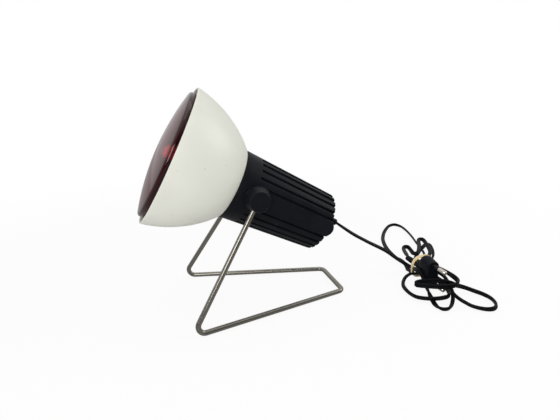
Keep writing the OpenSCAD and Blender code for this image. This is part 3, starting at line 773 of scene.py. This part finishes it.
class LAMP_OT_camera(LampPiece, bpy.types.Operator):
    """Adds the camera that looks at the lamp from its near side"""

    bl_idname = "lamp.camera"
    bl_label = "Camera"

    PLACE = (-0.06961, -0.37826, 0.20608)
    YAW, PITCH, ROLL = 15.73, -16.48, -1.51
    FOCAL_LENGTH, SENSOR_WIDTH = 25.586, 36

    def execute(self, context):
        yaw, pitch, roll = (math.radians(a) for a in (self.YAW, self.PITCH, self.ROLL))
        level = math.cos(pitch)
        ahead = Vector((math.sin(yaw) * level, math.cos(yaw) * level, math.sin(pitch)))
        flat = Vector((math.cos(yaw), -math.sin(yaw), 0))
        steep = flat.cross(ahead)
        right = flat * math.cos(roll) + steep * math.sin(roll)
        up = steep * math.cos(roll) - flat * math.sin(roll)
        lens = bpy.data.cameras.new("camera")
        lens.sensor_width = self.SENSOR_WIDTH
        lens.lens = self.FOCAL_LENGTH
        lens.clip_start = 0.01
        made = bpy.data.objects.new("camera", lens)
        turn = Matrix((right, up, -ahead)).transposed().to_4x4()
        made.matrix_world = Matrix.Translation(self.PLACE) @ turn
        context.scene.collection.objects.link(made)
        context.scene.camera = made
        return {"FINISHED"}


class LAMP_OT_cord(LampPiece, bpy.types.Operator):
    """Adds the flat twin cord, folded into a tied hank"""

    bl_idname = "lamp.cord"
    bl_label = "Cord"

    # Distance between the cord's rings
    STEP = 2 * MM
    # Two points on the cord's run, between the strain relief and the tie
    BENDS_FROM = (0.104, 0, 0.0655)
    BENDS_TO = (0.158, 0, 0.0295)
    # Angles of the points round one core's lobe, where 0 points away from the other core
    LOBE_ANGLES = range(-144, 145, 32)

    def execute(self, context):
        sizes = self.sizes(context)
        route = [Vector((x * MM, y * MM, z * MM, turn)) for x, y, z, turn in CORD_ROUTE]
        rows = evenly(curve_through(route), self.STEP)
        points = [row.xyz for row in rows]
        sides = []
        for i, row in enumerate(rows):
            along = (points[min(i + 1, len(points) - 1)] - points[max(i - 1, 0)]).normalized()
            level = along.cross(Vector((0, 0, 1))).normalized()
            edge = level.cross(along)
            turn = math.radians(row.w)
            sides.append(level * math.sin(turn) + edge * math.cos(turn))
        core = sizes.cord_thickness / 2
        apart = sizes.cord_width / 2 - core
        angles = [math.radians(k) for k in self.LOBE_ANGLES]
        lobe = [(apart + core * math.cos(a), core * math.sin(a)) for a in angles]
        section = lobe + [(-x, -y) for x, y in lobe]
        rings, grain = swept(points, section, sides)
        verts, faces = loft(rings)
        covering = twin_flex(self.colours(context).cord)
        made = piece("cord", verts, faces, covering, None, sharp=70, grain=grain)
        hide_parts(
            "cord_run", "hank_core", "hank_mid", "hank_far", "hank_left", "hank_front", "hank_right"
        )
        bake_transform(made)
        context.scene["cord_length"] = sum((b - a).length for a, b in zip(points, points[1:]))
        context.scene["cord_path"] = [c for p in points[::3] + [points[-1]] for c in p]
        return {"FINISHED"}


class LAMP_OT_plug(LampPiece, bpy.types.Operator):
    """Adds the two-pin plug with its strain relief"""

    bl_idname = "lamp.plug"
    bl_label = "Plug"

    # The shell's sections in millimetres: distance behind the face, then the left and right sides
    # from the middle, the bottom and the top above the solid's lowest point, and the corners' radius
    SECTIONS = (
        (0.5, -5.3, 5.3, 4.6, 29.4, 3.8),
        (0.0, -5.7, 5.7, 4.2, 29.8, 4.4),
        (0.0, -6.3, 6.3, 3.5, 30.4, 5.2),
        (0.2, -6.75, 6.75, 3.1, 30.9, 5.8),
        (0.9, -6.98, 6.98, 2.9, 31.2, 6.4),
        (4, -7, 7, 4, 32.1, 6.6),
        (8, -7, 7, 5.8, 33.2, 6.8),
        (11, -7, 7, 7.8, 33.8, 6.8),
        (14, -6.6, 7, 10, 33.4, 6.6),
        (17, -4.8, 6.9, 11.8, 31.8, 5.8),
        (20, -3, 6.6, 12.8, 28.6, 4.7),
        (23.5, -2.7, 5.4, 13, 24, 4),
        (27, -3, 4, 13.4, 21.4, 3.4),
        (30.2, -3, 3.2, 13.8, 20.4, 3),
        (31, -2.4, 2.6, 14.4, 19.8, 2.4),
    )
    # The relief's first radius and its taper, and the grooves' number, first place, pitch and depth
    TAIL_R, TAPER = 3.6, 0.6
    GROOVES, FIRST, PITCH, GROOVE = 4, 2.2, 3.2, 0.5

    def tail_outline(self, end):
        """Radius and height in millimetres of the grooved relief, from the shell to its end."""
        outline = [(0, 0), (self.TAIL_R, 0)]
        for k in range(self.GROOVES):
            y = self.FIRST + self.PITCH * k
            r = self.TAIL_R - self.TAPER * y / end
            deep = r - self.GROOVE
            outline += [(r, y - 0.2), (deep, y), (deep, y + 0.9), (r - 0.05, y + 1.1)]
        last = self.TAIL_R - self.TAPER
        return [*outline, (last + 0.02, end - 0.3), (last - 0.3, end), (0, end)]

    def execute(self, context):
        black = tint(self.colours(context).housing, 1.1)
        plastic = grained_plastic("plug_plastic", black, 0.6 * MM, 0.012 * MM, 0.42)
        low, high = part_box("plug_body")
        middle = (low + high) / 2
        rings = []
        for y, left, right, bottom, top, corner in self.SECTIONS:
            corners = [(right, top), (left, top), (left, bottom), (right, bottom)]
            ring = rounded([(x, z, corner) for x, z in corners])
            face = Vector((middle.x, low.y + y * MM, low.z))
            rings.append([face + Vector((x * MM, 0, z * MM)) for x, z in ring])
        verts, faces = loft(rings)
        body = piece("plug_shell", verts, faces, plastic, "stand", ["plug_body"])
        low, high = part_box("plug_tail")
        height = (low.z + high.z) / 2
        tail = Matrix(((1, 0, 0, middle.x), (0, 0, 1, low.y), (0, -1, 0, height), (0, 0, 0, 1)))
        verts, faces = turned(self.tail_outline((high.y - low.y) / MM), tail, 32)
        relief = piece("plug_relief", verts, faces, plastic, "stand", ["plug_tail"])
        context.scene["plug_pieces"] = ",".join((body.name, relief.name))
        return {"FINISHED"}


class LAMP_OT_band(LampPiece, bpy.types.Operator):
    """Adds the rubber band, wound twice round the hank"""

    bl_idname = "lamp.band"
    bl_label = "Rubber band"

    # Radii of its path's corners: upper right, upper left, lower left and lower right
    CORNERS = (7.6 * MM, 10.5 * MM, 6.5 * MM, 7.6 * MM)
    TURNS = 2
    STEP = 1.1 * MM
    # How far its two turns wander to each side of its middle, and outwards where they cross
    APART, LIFT = 1.1 * MM, 0.24 * MM
    # Small waves of the rubber: their height, and how many there are over both turns
    WAVE_OUT, WAVES_OUT = 0.05 * MM, 9
    WAVE_ASIDE, WAVES_ASIDE = 0.12 * MM, 5
    # Radius of the rubber's edges, and the space left round the hank's solid for the lift
    EDGE = 0.3 * MM
    CLEAR = 0.25 * MM

    def path(self, middle, half_w, half_h):
        """The band's middle line."""
        sides = [(half_w, half_h), (-half_w, half_h), (-half_w, -half_h), (half_w, -half_h)]
        outline = rounded([(x, z, r) for (x, z), r in zip(sides, self.CORNERS)], 8)
        loop = [Vector((x, z, 0, 0)) for x, z in [*outline, outline[0]]]
        outline = [row.xy for row in evenly(loop, self.STEP)][:-1]
        count = self.TURNS * len(outline)
        points = []
        for k in range(count):
            turn = 2 * math.pi * k / count
            flat = outline[k % len(outline)]
            out = flat.normalized()
            lift = self.LIFT * math.sin(turn) + self.WAVE_OUT * math.sin(self.WAVES_OUT * turn)
            aside = self.APART * math.cos(turn) + self.WAVE_ASIDE * math.sin(self.WAVES_ASIDE * turn)
            flat = flat + out * lift
            points.append(middle + Vector((flat.x, aside, flat.y)))
        return points

    def execute(self, context):
        sizes = self.sizes(context)
        low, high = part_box("hank_band")
        inset = sizes.band_thickness / 2 + self.CLEAR
        half_w, half_h = (high.x - low.x) / 2 - inset, (high.z - low.z) / 2 - inset
        points = self.path((low + high) / 2, half_w, half_h)
        w, t = sizes.band_width / 2, sizes.band_thickness / 2
        section = rounded([(y, z, self.EDGE) for y, z in ((w, t), (-w, t), (-w, -t), (w, -t))], 2)
        rings, _ = swept(points, section, [(0, 1, 0)] * len(points), closed=True)
        verts, faces = loft(rings, closed=True)
        colour = self.colours(context).band
        rubber = moulded("band_rubber", colour, 0.55, 0.1, 8 * MM, 0.5 * MM, 0.02 * MM)
        piece("rubber_band", verts, faces, rubber, "stand", ["hank_band"])
        return {"FINISHED"}


class LAMP_OT_stand(LampPiece, bpy.types.Operator):
    """Adds the stand, bent from one steel wire"""

    bl_idname = "lamp.stand"
    bl_label = "Wire stand"

    # How far the wire's corners lie from the middle plane, and from the tilt axis along X
    AXLE_END, ARM, FRONT, REAR = 23.75 * MM, 39 * MM, 65 * MM, 28 * MM
    TO_FRONT, TO_REAR = 70 * MM, 90 * MM
    ARM_BEND = 3.5 * MM

    def execute(self, context):
        sizes = self.sizes(context)
        radius = sizes.wire_diameter / 2
        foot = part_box("wire_stand")[0].z + radius
        half = [
            Vector((PIVOT.x, self.AXLE_END, PIVOT.z)),
            Vector((PIVOT.x, self.ARM, PIVOT.z)),
            Vector((PIVOT.x - self.TO_FRONT, self.FRONT, foot)),
            Vector((PIVOT.x + self.TO_REAR, self.REAR, foot)),
        ]
        path = [Vector((p.x, -p.y, p.z)) for p in half] + half[::-1]
        radii = [self.ARM_BEND] + [sizes.bend_radius] * 4 + [self.ARM_BEND]
        points = bent(path, radii, 12)
        rings, grain = swept(points, circle(radius, 28), [(1, 0, 0)])
        verts, faces = loft(rings)
        steel = drawn_steel(self.colours(context).steel)
        piece("stand_wire", verts, faces, steel, "stand", ["wire_stand"], grain=grain)
        return {"FINISHED"}


class LAMP_OT_knobs(LampPiece, bpy.types.Operator):
    """Adds the two tilt knobs"""

    bl_idname = "lamp.knobs"
    bl_label = "Tilt knobs"

    # Radii, and distances from the middle plane, of the skirt, the cone and the raised edge of its face
    SEAT, SKIRT_TOP, FACE, EDGE_TOP = 35.3, 36.9, 46.9, 47.5
    SKIRT_R, CONE_R, FACE_R = 12.6, 12.1, 9.6

    def execute(self, context):
        colour = tint(self.colours(context).housing, 1.05)
        plastic = grained_plastic("knob_plastic", colour, 0.5 * MM, 0.01 * MM, 0.34, 0.14)
        outline = rounded(
            [
                (4, self.SEAT, 0),
                (self.SKIRT_R, self.SEAT, 0.3),
                (self.SKIRT_R, self.SKIRT_TOP, 0.4),
                (self.CONE_R, self.SKIRT_TOP + 0.05, 0.2),
                (self.FACE_R, self.FACE, 0.4),
                (self.FACE_R - 0.4, self.EDGE_TOP, 0.35),
                (self.FACE_R - 1.1, self.EDGE_TOP, 0.3),
                (self.FACE_R - 1.4, self.FACE + 0.05, 0.25),
                (4, self.FACE, 0),
                (0, self.FACE, 0),
                (0, self.SEAT, 0),
            ]
        )
        for name, place in (("knob_near", NEAR_SIDE), ("knob_far", FAR_SIDE)):
            verts, faces = turned(outline, place, self.sizes(context).turned_steps)
            piece(name.replace("knob", "tilt_knob"), verts, faces, plastic, "stand", [name], sharp=50)
        return {"FINISHED"}


class LAMP_OT_housing(LampPiece, bpy.types.Operator):
    """Adds the ribbed housing with its grooves and side seats"""

    bl_idname = "lamp.housing"
    bl_label = "Housing"

    # Places along the lamp's axis and radii, in millimetres
    FRONT, REAR = 21.0, -82.94
    FRONT_R, REAR_R = 35.0, 31.0
    BORE_R, FRONT_BORE_R, FRONT_WALL = 30.2, 22.5, 4
    COVER_SEAT_R, COVER_STOP_R, COVER_DEPTH = 27.4, 26.5, 3.54
    # The grooves start here, and their depth grows over GROOVE_RUN
    GROOVE_START, GROOVE_RUN = 4.0, 1.2
    PITCH = 14.4
    # The grooves widen and deepen from one of these places to the next
    WIDENS = (-68, -76, -81.9)
    # Widths of the eleven grooves between one side panel and the other, as shares of the drawn width
    WIDTHS = (0.9, 1, 1.15, 1.7, 2.3, 2.4, 2.3, 1.7, 1.15, 1, 0.9)
    # The side panels bulge out by PANEL_END beyond the rear end, over the last PANEL_RUN of their length,
    # where the sine of the angle is above PANEL_SHARE
    PANEL_END, PANEL_RUN = 4.6, 6.94
    PANEL_SHARE = 0.957
    # The round seats under the knobs, out from the middle plane
    SEAT_R, SEAT_BORE_R, SEAT_FROM, SEAT_TO = 11.8, 8.3, 26, 35

    def radius(self, z):
        share = (z - self.REAR) / (self.FRONT - self.REAR)
        return self.REAR_R + share * (self.FRONT_R - self.REAR_R)

    def marks(self, width):
        """Angle in degrees, side step in mm and depth share of each point of a ring."""
        centres = [side + i * self.PITCH for side in (0, 180) for i in range(-5, 6)]
        out = []
        for i, here in enumerate(centres):
            after = centres[i + 1] if i + 1 < len(centres) else centres[0] + 360
            half = width / 2 * self.WIDTHS[i % 11]
            wall = [(half + 0.4, 0), (half + 0.12, 0.03), (half, 0.13), (half - 0.03, 0.84), (half - 0.32, 1)]
            across = [(-s, d) for s, d in wall] + [(0, 1)] + wall[::-1]
            out += [(here, s, d) for s, d in across]
            on_panel = after - here > 20
            steps = [0.14 + 0.09 * k for k in range(9)] if on_panel else [0.3, 0.5, 0.7]
            out += [(here + (after - here) * k, 0, 0) for k in steps]
        return out

    def stations(self):
        """Place along the axis, inset of the edge, and width and depth of the grooves as shares."""
        front, start, rear = self.FRONT, self.GROOVE_START, self.REAR
        out = [(front, 0.5, 0.35, 0), (front - 0.15, 0.15, 0.35, 0), (front - 0.5, 0, 0.35, 0)]
        out += [(14, 0, 0.35, 0), (8, 0, 0.35, 0), (start + 0.3, 0, 0.35, 0), (start, 0, 0.35, 0)]
        out += [(start - 0.06, 0, 0.35, 1), (start - 0.3, 0, 0.66, 1), (start - 0.7, 0, 0.91, 1)]
        out += [(start - self.GROOVE_RUN, 0, 1, 1)]
        out += [(z, 0, 1, 1) for z in (-8, -20, -32, -44, -56)]
        out += [(z, 0, w, d) for z, w, d in zip(self.WIDENS, (1.05, 1.1, 1.15), (1.15, 1.35, 1.55))]
        out += [(z, inset, 1.15, 1.55) for z, inset in ((-82.4, 0.12), (-82.8, 0.4), (rear, 0.8))]
        return out

    def ring(self, z, inset, wide, deep, marks, depth):
        """The points of the outside at one place along the axis."""
        base = self.radius(z)
        out = []
        for angle, step, share in marks:
            r = min(base - inset, base - depth * share * deep)
            a = math.radians(angle) + step * wide / base
            bulge = max(0, (abs(math.sin(a)) - self.PANEL_SHARE) / (1 - self.PANEL_SHARE)) * (share == 0)
            near_end = max(0, (self.REAR + self.PANEL_RUN - z) / self.PANEL_RUN)
            end = z - self.PANEL_END * bulge * near_end
            out.append(LAMP @ Vector((r * math.cos(a) * MM, r * math.sin(a) * MM, end * MM)))
        return out

    def execute(self, context):
        sizes = self.sizes(context)
        marks = self.marks(sizes.groove_width / MM)
        rings = [self.ring(*station, marks, sizes.groove_depth / MM) for station in self.stations()]
        stop, front_wall = self.REAR + self.COVER_DEPTH, self.FRONT - self.FRONT_WALL
        for r, z in (
            (self.COVER_SEAT_R + 0.3, self.REAR),
            (self.COVER_SEAT_R, self.REAR + 0.3),
            (self.COVER_SEAT_R, stop),
            (self.COVER_STOP_R, stop),
            (self.BORE_R, front_wall),
            (self.FRONT_BORE_R, front_wall),
            (self.FRONT_BORE_R, self.FRONT),
        ):
            turns = [math.radians(angle) for angle, _, _ in marks]
            rings.append([LAMP @ (Vector((r * math.cos(a), r * math.sin(a), z)) * MM) for a in turns])
        verts, faces = loft(rings, closed=True)
        foot = [(self.SEAT_BORE_R, self.SEAT_FROM, 0), (self.SEAT_R, self.SEAT_FROM, 0)]
        seat = rounded([*foot, (self.SEAT_R, self.SEAT_TO, 0.5), (self.SEAT_BORE_R, self.SEAT_TO, 0.3)])
        for place in (NEAR_SIDE, FAR_SIDE):
            seat_verts, seat_faces = turned(seat, place, 72, len(verts))
            verts += seat_verts
            faces += seat_faces
        colour = self.colours(context).housing
        plastic = grained_plastic("housing_plastic", colour, 0.55 * MM, 0.014 * MM, 0.44)
        piece("ribbed_housing", verts, faces, plastic, "head", ["housing"])
        return {"FINISHED"}


class LAMP_OT_shade(LampPiece, bpy.types.Operator):
    """Adds the bowl shade with its rim"""

    bl_idname = "lamp.shade"
    bl_label = "Shade"

    # Radii and places along the lamp's axis, in millimetres, of the bowl's outside and of its floor
    ARC_R = 106.5
    BASE, RIM = Vector((35.8, 21)), Vector((67, 85))
    FLOOR, LIP, HOLE_R = 24, 84, 22.5
    STEPS, LIP_STEPS = 40, 8

    def execute(self, context):
        sizes = self.sizes(context)
        wall = sizes.shade_wall / MM
        chord = self.RIM - self.BASE
        rise = math.sqrt(self.ARC_R**2 - (chord.length / 2) ** 2)
        centre = (self.BASE + self.RIM) / 2 + Vector((-chord.y, chord.x)).normalized() * rise

        def arc(radius, start, end):
            """Points of the bowl between two places along the axis."""
            places = [start + (end - start) * k / self.STEPS for k in range(self.STEPS + 1)]
            return [(centre.x + math.sqrt(radius**2 - (z - centre.y) ** 2), z) for z in places]

        outer = arc(self.ARC_R, self.BASE.y + 0.6, self.LIP)
        inner = arc(self.ARC_R - wall, self.LIP, self.FLOOR + 1.2)
        middle = (outer[-1][0] + inner[0][0]) / 2
        angles = [math.pi * k / self.LIP_STEPS for k in range(1, self.LIP_STEPS)]
        lip = [(middle + wall / 2 * math.cos(a), self.LIP + wall / 2 * math.sin(a)) for a in angles]
        hole, floor, back = self.HOLE_R, self.FLOOR, self.BASE.y
        outline = [(hole, back + 0.3), (hole + 0.3, back), (35.5, back), (35.75, back + 0.2)]
        outline += [*outer, *lip, *inner, (36.9, floor + 0.4), (36.2, floor + 0.05), (35.2, floor)]
        outline += [(hole + 0.3, floor), (hole, floor - 0.3)]
        verts, faces = turned(outline, LAMP, sizes.turned_steps)
        cream = shade_plastic(self.colours(context).shade)
        piece("bowl_shade", verts, faces, cream, "head", ["shade"])
        return {"FINISHED"}


class LAMP_OT_bulb(LampPiece, bpy.types.Operator):
    """Adds the domed ruby front of the bulb"""

    bl_idname = "lamp.bulb"
    bl_label = "Bulb"

    # Radii, and places along the lamp's axis, in millimetres
    DOME_R, BULB_R, SEAM, TOP = 260.0, 61.0, 84.0, 96.2551
    GLASS = 2.6
    OUTSIDE_AT = (0, 8, 16, 24, 32, 40, 46, 51)
    INSIDE_AT = (50, 44, 36, 28, 20, 10, 0)

    def dome(self, r, inset=0.0):
        return self.TOP - self.DOME_R + math.sqrt((self.DOME_R - inset) ** 2 - r * r)

    def execute(self, context):
        sizes = self.sizes(context)
        shoulder = sizes.shoulder_radius / MM
        inner_r = self.BULB_R - self.GLASS
        corners = [(r, self.dome(r), 0) for r in self.OUTSIDE_AT]
        corners += [(self.BULB_R, self.dome(self.BULB_R), shoulder), (self.BULB_R, self.SEAM, 0.2)]
        corners += [(inner_r, self.SEAM, 0), (inner_r, self.dome(inner_r, self.GLASS), shoulder - 2)]
        corners += [(r, self.dome(r, self.GLASS), 0) for r in self.INSIDE_AT]
        verts, faces = turned(rounded(corners, 9), LAMP, sizes.turned_steps)
        glass = ruby_glass(self.colours(context).lens)
        piece("ruby_front", verts, faces, glass, "head", ["bulb_lens"], sharp=60)
        return {"FINISHED"}


class LAMP_OT_inner_finishes(LampPiece, bpy.types.Operator):
    """Gives the pieces that keep their solids their finishes"""

    bl_idname = "lamp.inner_finishes"
    bl_label = "Inner finishes"

    # Name, colour, roughness, spread of the colour, size of its patches, size and height of the grain
    # (sizes in millimetres), the shader's constants, and the pieces
    METAL = {"metallic": 1.0}
    FINISHES = (
        (
            ("zinc_screws", (0.56, 0.56, 0.54), 0.34, 0.12, 4, 0.3, 0.006, METAL),
            "rear_cover_screws shade_screws bracket_screws holder_screws clamp_screws terminal_screws",
        ),
        (
            ("brass", (0.66, 0.47, 0.2), 0.3, 0.12, 10, 0.4, 0.008, METAL),
            "pivot_bushes bulb_collar bulb_cap lampholder_sleeve terminals",
        ),
        (("solder", (0.6, 0.6, 0.58), 0.34, 0.1, 8, 0.3, 0.01, METAL), "bulb_contact"),
        (
            ("spring_steel", (0.42, 0.42, 0.42), 0.36, 0.1, 10, 0.3, 0.006, METAL),
            "pivot_washers push_nuts lampholder_bracket",
        ),
        (("silvered_glass", (0.83, 0.82, 0.8), 0.12, 0.06, 30, 3, 0.01, METAL), "bulb_reflector"),
        (
            ("clear_glass", (0.86, 0.9, 0.88), 0.06, 0.03, 20, 2, 0.01, {"transmission_weight": 0.8}),
            "bulb_stem",
        ),
        (("tungsten", (0.3, 0.3, 0.32), 0.45, 0.1, 4, 0.2, 0.02, METAL), "filament filament_leads"),
        (
            ("glazed_ceramic", (0.78, 0.76, 0.69), 0.22, 0.05, 20, 1.2, 0.01, {"coat_weight": 0.4}),
            "lampholder_body",
        ),
        (("black_insulator", (0.02, 0.02, 0.022), 0.3, 0.2, 10, 0.4, 0.008, {}), "bulb_insulator"),
        (("copper_tongue", (0.72, 0.4, 0.24), 0.3, 0.12, 10, 0.3, 0.006, METAL), "lampholder_tongue"),
        (("brown_insulation", (0.13, 0.055, 0.025), 0.42, 0.12, 10, 0.5, 0.01, {}), "lead_brown"),
        (("blue_insulation", (0.025, 0.09, 0.3), 0.42, 0.12, 10, 0.5, 0.01, {}), "lead_blue"),
    )
    PINS = (0.72, 0.69, 0.62)
    # The pins are black from the plug's face to this far along them
    DARK_ROOT_REACH = 9.2 * MM

    def dress(self, material, names):
        for name in names.split():
            slots = frame["nodes"][name].data.materials
            slots.clear()
            slots.append(material)

    def execute(self, context):
        colours = self.colours(context)
        for (name, shade, rough, spread, patch, grain, relief, constants), names in self.FINISHES:
            material = moulded(
                name, shade, rough, spread, patch * MM, grain * MM, relief * MM, **constants
            )
            self.dress(material, names)
        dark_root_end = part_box("plug_body")[0].y - self.DARK_ROOT_REACH
        self.dress(pins_dark_at_root(self.PINS, tuple(colours.housing), dark_root_end), "plug_pins")
        dark = tint(colours.cord, 1.1)
        rubber = moulded(
            "relief_rubber", dark, 0.5, 0.2, 10 * MM, 0.5 * MM, 0.015 * MM, specular_ior_level=0.12
        )
        self.dress(rubber, "cord_relief cord_tail")
        black = tint(colours.housing, 1.15)
        cover = grained_plastic("cover_plastic", black, 0.5 * MM, 0.012 * MM, 0.42)
        self.dress(cover, "rear_cover cord_clamp")
        return {"FINISHED"}


class LAMP_OT_declare_cord(LampPiece, bpy.types.Operator):
    """Gathers the plug's pieces, its pins and the rubber band, which lie on the cord, and reads the cord's
    width
    """

    bl_idname = "lamp.declare_cord"
    bl_label = "Cord facts"

    # The strain relief's end in the lamp's own frame
    EXIT = (6 * MM, 0, -102.44 * MM)

    def execute(self, context):
        scene = context.scene
        things = [bpy.data.objects[n] for n in scene["plug_pieces"].split(",")]
        things += [frame["nodes"]["plug_pins"], bpy.data.objects["rubber_band"]]
        self.sizes(context).cord_width
        return {"FINISHED"}


class LAMP_OT_stage(LampPiece, bpy.types.Operator):
    """Adds the floor, the background and the lights"""

    bl_idname = "lamp.stage"
    bl_label = "Stage"

    # Half of the floor's side
    HALF = 4
    # The floor glows like the background from NEAR to FAR away
    NEAR, FAR = 0.25, 0.8
    NEAR_GLOW = 0.9
    WHITE, DARK = (1.0, 1.0, 1.0), (0.02, 0.02, 0.02)
    # In reflections the room is bright above and behind, dim in front, with a darker patch far off
    BRIGHT_SIDE, DIM, BRIGHT = (0.05, 0.8, 0.6), 0.07, 0.68
    PATCH, PATCH_SHARE = (-0.38, 0.92, 0.09), 0.2
    # Strength of the background's light on matt surfaces
    AROUND = 0.62
    AIM = Vector((0, 0, 0.1))
    # Name, place, size and watts of each light
    LIGHTS = (
        ("key", (-0.4, -0.75, 0.5), 0.45, 3.1),
        ("top", (0.05, 0.1, 0.9), 0.6, 0.8),
        ("side", (0.8, -0.1, 0.45), 0.4, 1.4),
    )

    def ray(self, net, kind):
        return net.node("ShaderNodeLightPath", {}, {}, "Is " + kind + " Ray")

    def floor_material(self, shade):
        material = bpy.data.materials.new("floor")
        net = Net(material)
        seen = self.ray(net, "Camera").most(self.ray(net, "Glossy")).most(self.ray(net, "Transmission"))
        matt = net.node("ShaderNodeBsdfDiffuse", {}, {"Color": shade})
        glow = net.node("ShaderNodeEmission", {}, {"Color": self.WHITE, "Strength": 1.0})
        away = net.node("ShaderNodeVectorMath", {"operation": "LENGTH"}, {0: net.place()}, "Value")
        share = seen * (self.NEAR_GLOW + away.step(self.NEAR, self.FAR) * (1 - self.NEAR_GLOW))
        both = net.node("ShaderNodeMixShader", {}, {0: share, 1: matt, 2: glow})
        dim = net.node("ShaderNodeBsdfDiffuse", {}, {"Color": self.DARK})
        both = net.node("ShaderNodeMixShader", {}, {0: self.ray(net, "Glossy") * 0.6, 1: both, 2: dim})
        net.node("ShaderNodeOutputMaterial", {}, {"Surface": both})
        return material

    def execute(self, context):
        scene = context.scene
        half = self.HALF
        floor = bpy.data.meshes.new("floor")
        corners = [(-half, -half, 0), (half, -half, 0), (half, half, 0), (-half, half, 0)]
        floor.from_pydata(corners, [], [(0, 1, 2, 3)])
        floor.materials.append(self.floor_material(tuple(self.colours(context).floor)))
        made = bpy.data.objects.new("floor", floor)
        scene.collection.objects.link(made)

        world = bpy.data.worlds.new("world")
        scene.world = world
        net = Net(world)
        camera = self.ray(net, "Camera")
        gloss = self.ray(net, "Glossy").most(self.ray(net, "Transmission"))
        where = net.node("ShaderNodeTexCoord", {}, {}, "Generated")
        beyond = where.dot(self.BRIGHT_SIDE).step(-0.45, 0.5) * self.BRIGHT + self.DIM
        beyond = beyond * (1 - where.dot(self.PATCH).step(0.9, 0.985) * self.PATCH_SHARE)
        strength = (beyond * gloss + self.AROUND * (1 - gloss)) * (1 - camera) + camera
        sky = net.node("ShaderNodeBackground", {}, {"Color": self.WHITE, "Strength": strength})
        net.node("ShaderNodeOutputWorld", {}, {"Surface": sky})

        for name, place, size, power in self.LIGHTS:
            light = bpy.data.lights.new(name, "AREA")
            light.size = size
            light.energy = power
            made = bpy.data.objects.new(name, light)
            made.location = place
            made.rotation_euler = (self.AIM - Vector(place)).to_track_quat("-Z", "Y").to_euler()
            scene.collection.objects.link(made)
        scene.view_settings.view_transform = "Standard"
        return {"FINISHED"}


PIECES = (
    LAMP_OT_camera,
    LAMP_OT_cord,
    LAMP_OT_plug,
    LAMP_OT_band,
    LAMP_OT_declare_cord,
    LAMP_OT_stand,
    LAMP_OT_knobs,
    LAMP_OT_housing,
    LAMP_OT_shade,
    LAMP_OT_bulb,
    LAMP_OT_inner_finishes,
    LAMP_OT_stage,
)


class LAMP_PT_panel(bpy.types.Panel):
    """Lists the lamp's sizes, colours and pieces"""

    bl_idname = "LAMP_PT_panel"
    bl_label = "Heat Lamp"
    bl_space_type = "VIEW_3D"
    bl_region_type = "UI"
    bl_category = "Heat Lamp"

    def draw(self, context):
        for group in (context.scene.lamp_sizes, context.scene.lamp_colours):
            column = self.layout.column(align=True)
            for name in group.bl_rna.properties.keys():
                if name not in ("rna_type", "name"):
                    column.prop(group, name)
        column = self.layout.column(align=True)
        for operator in PIECES:
            column.operator(operator.bl_idname)


CLASSES = (LampSizes, LampColours, *PIECES, LAMP_PT_panel)


def register():
    for item in CLASSES:
        bpy.utils.register_class(item)
    bpy.types.Scene.lamp_sizes = PointerProperty(type=LampSizes)
    bpy.types.Scene.lamp_colours = PointerProperty(type=LampColours)


def unregister():
    del bpy.types.Scene.lamp_sizes
    del bpy.types.Scene.lamp_colours
    for item in reversed(CLASSES):
        bpy.utils.unregister_class(item)


def main():
    register()
    for item in PIECES:
        group, name = item.bl_idname.split(".")
        getattr(getattr(bpy.ops, group), name)()


if __name__ == "__main__":
    main()
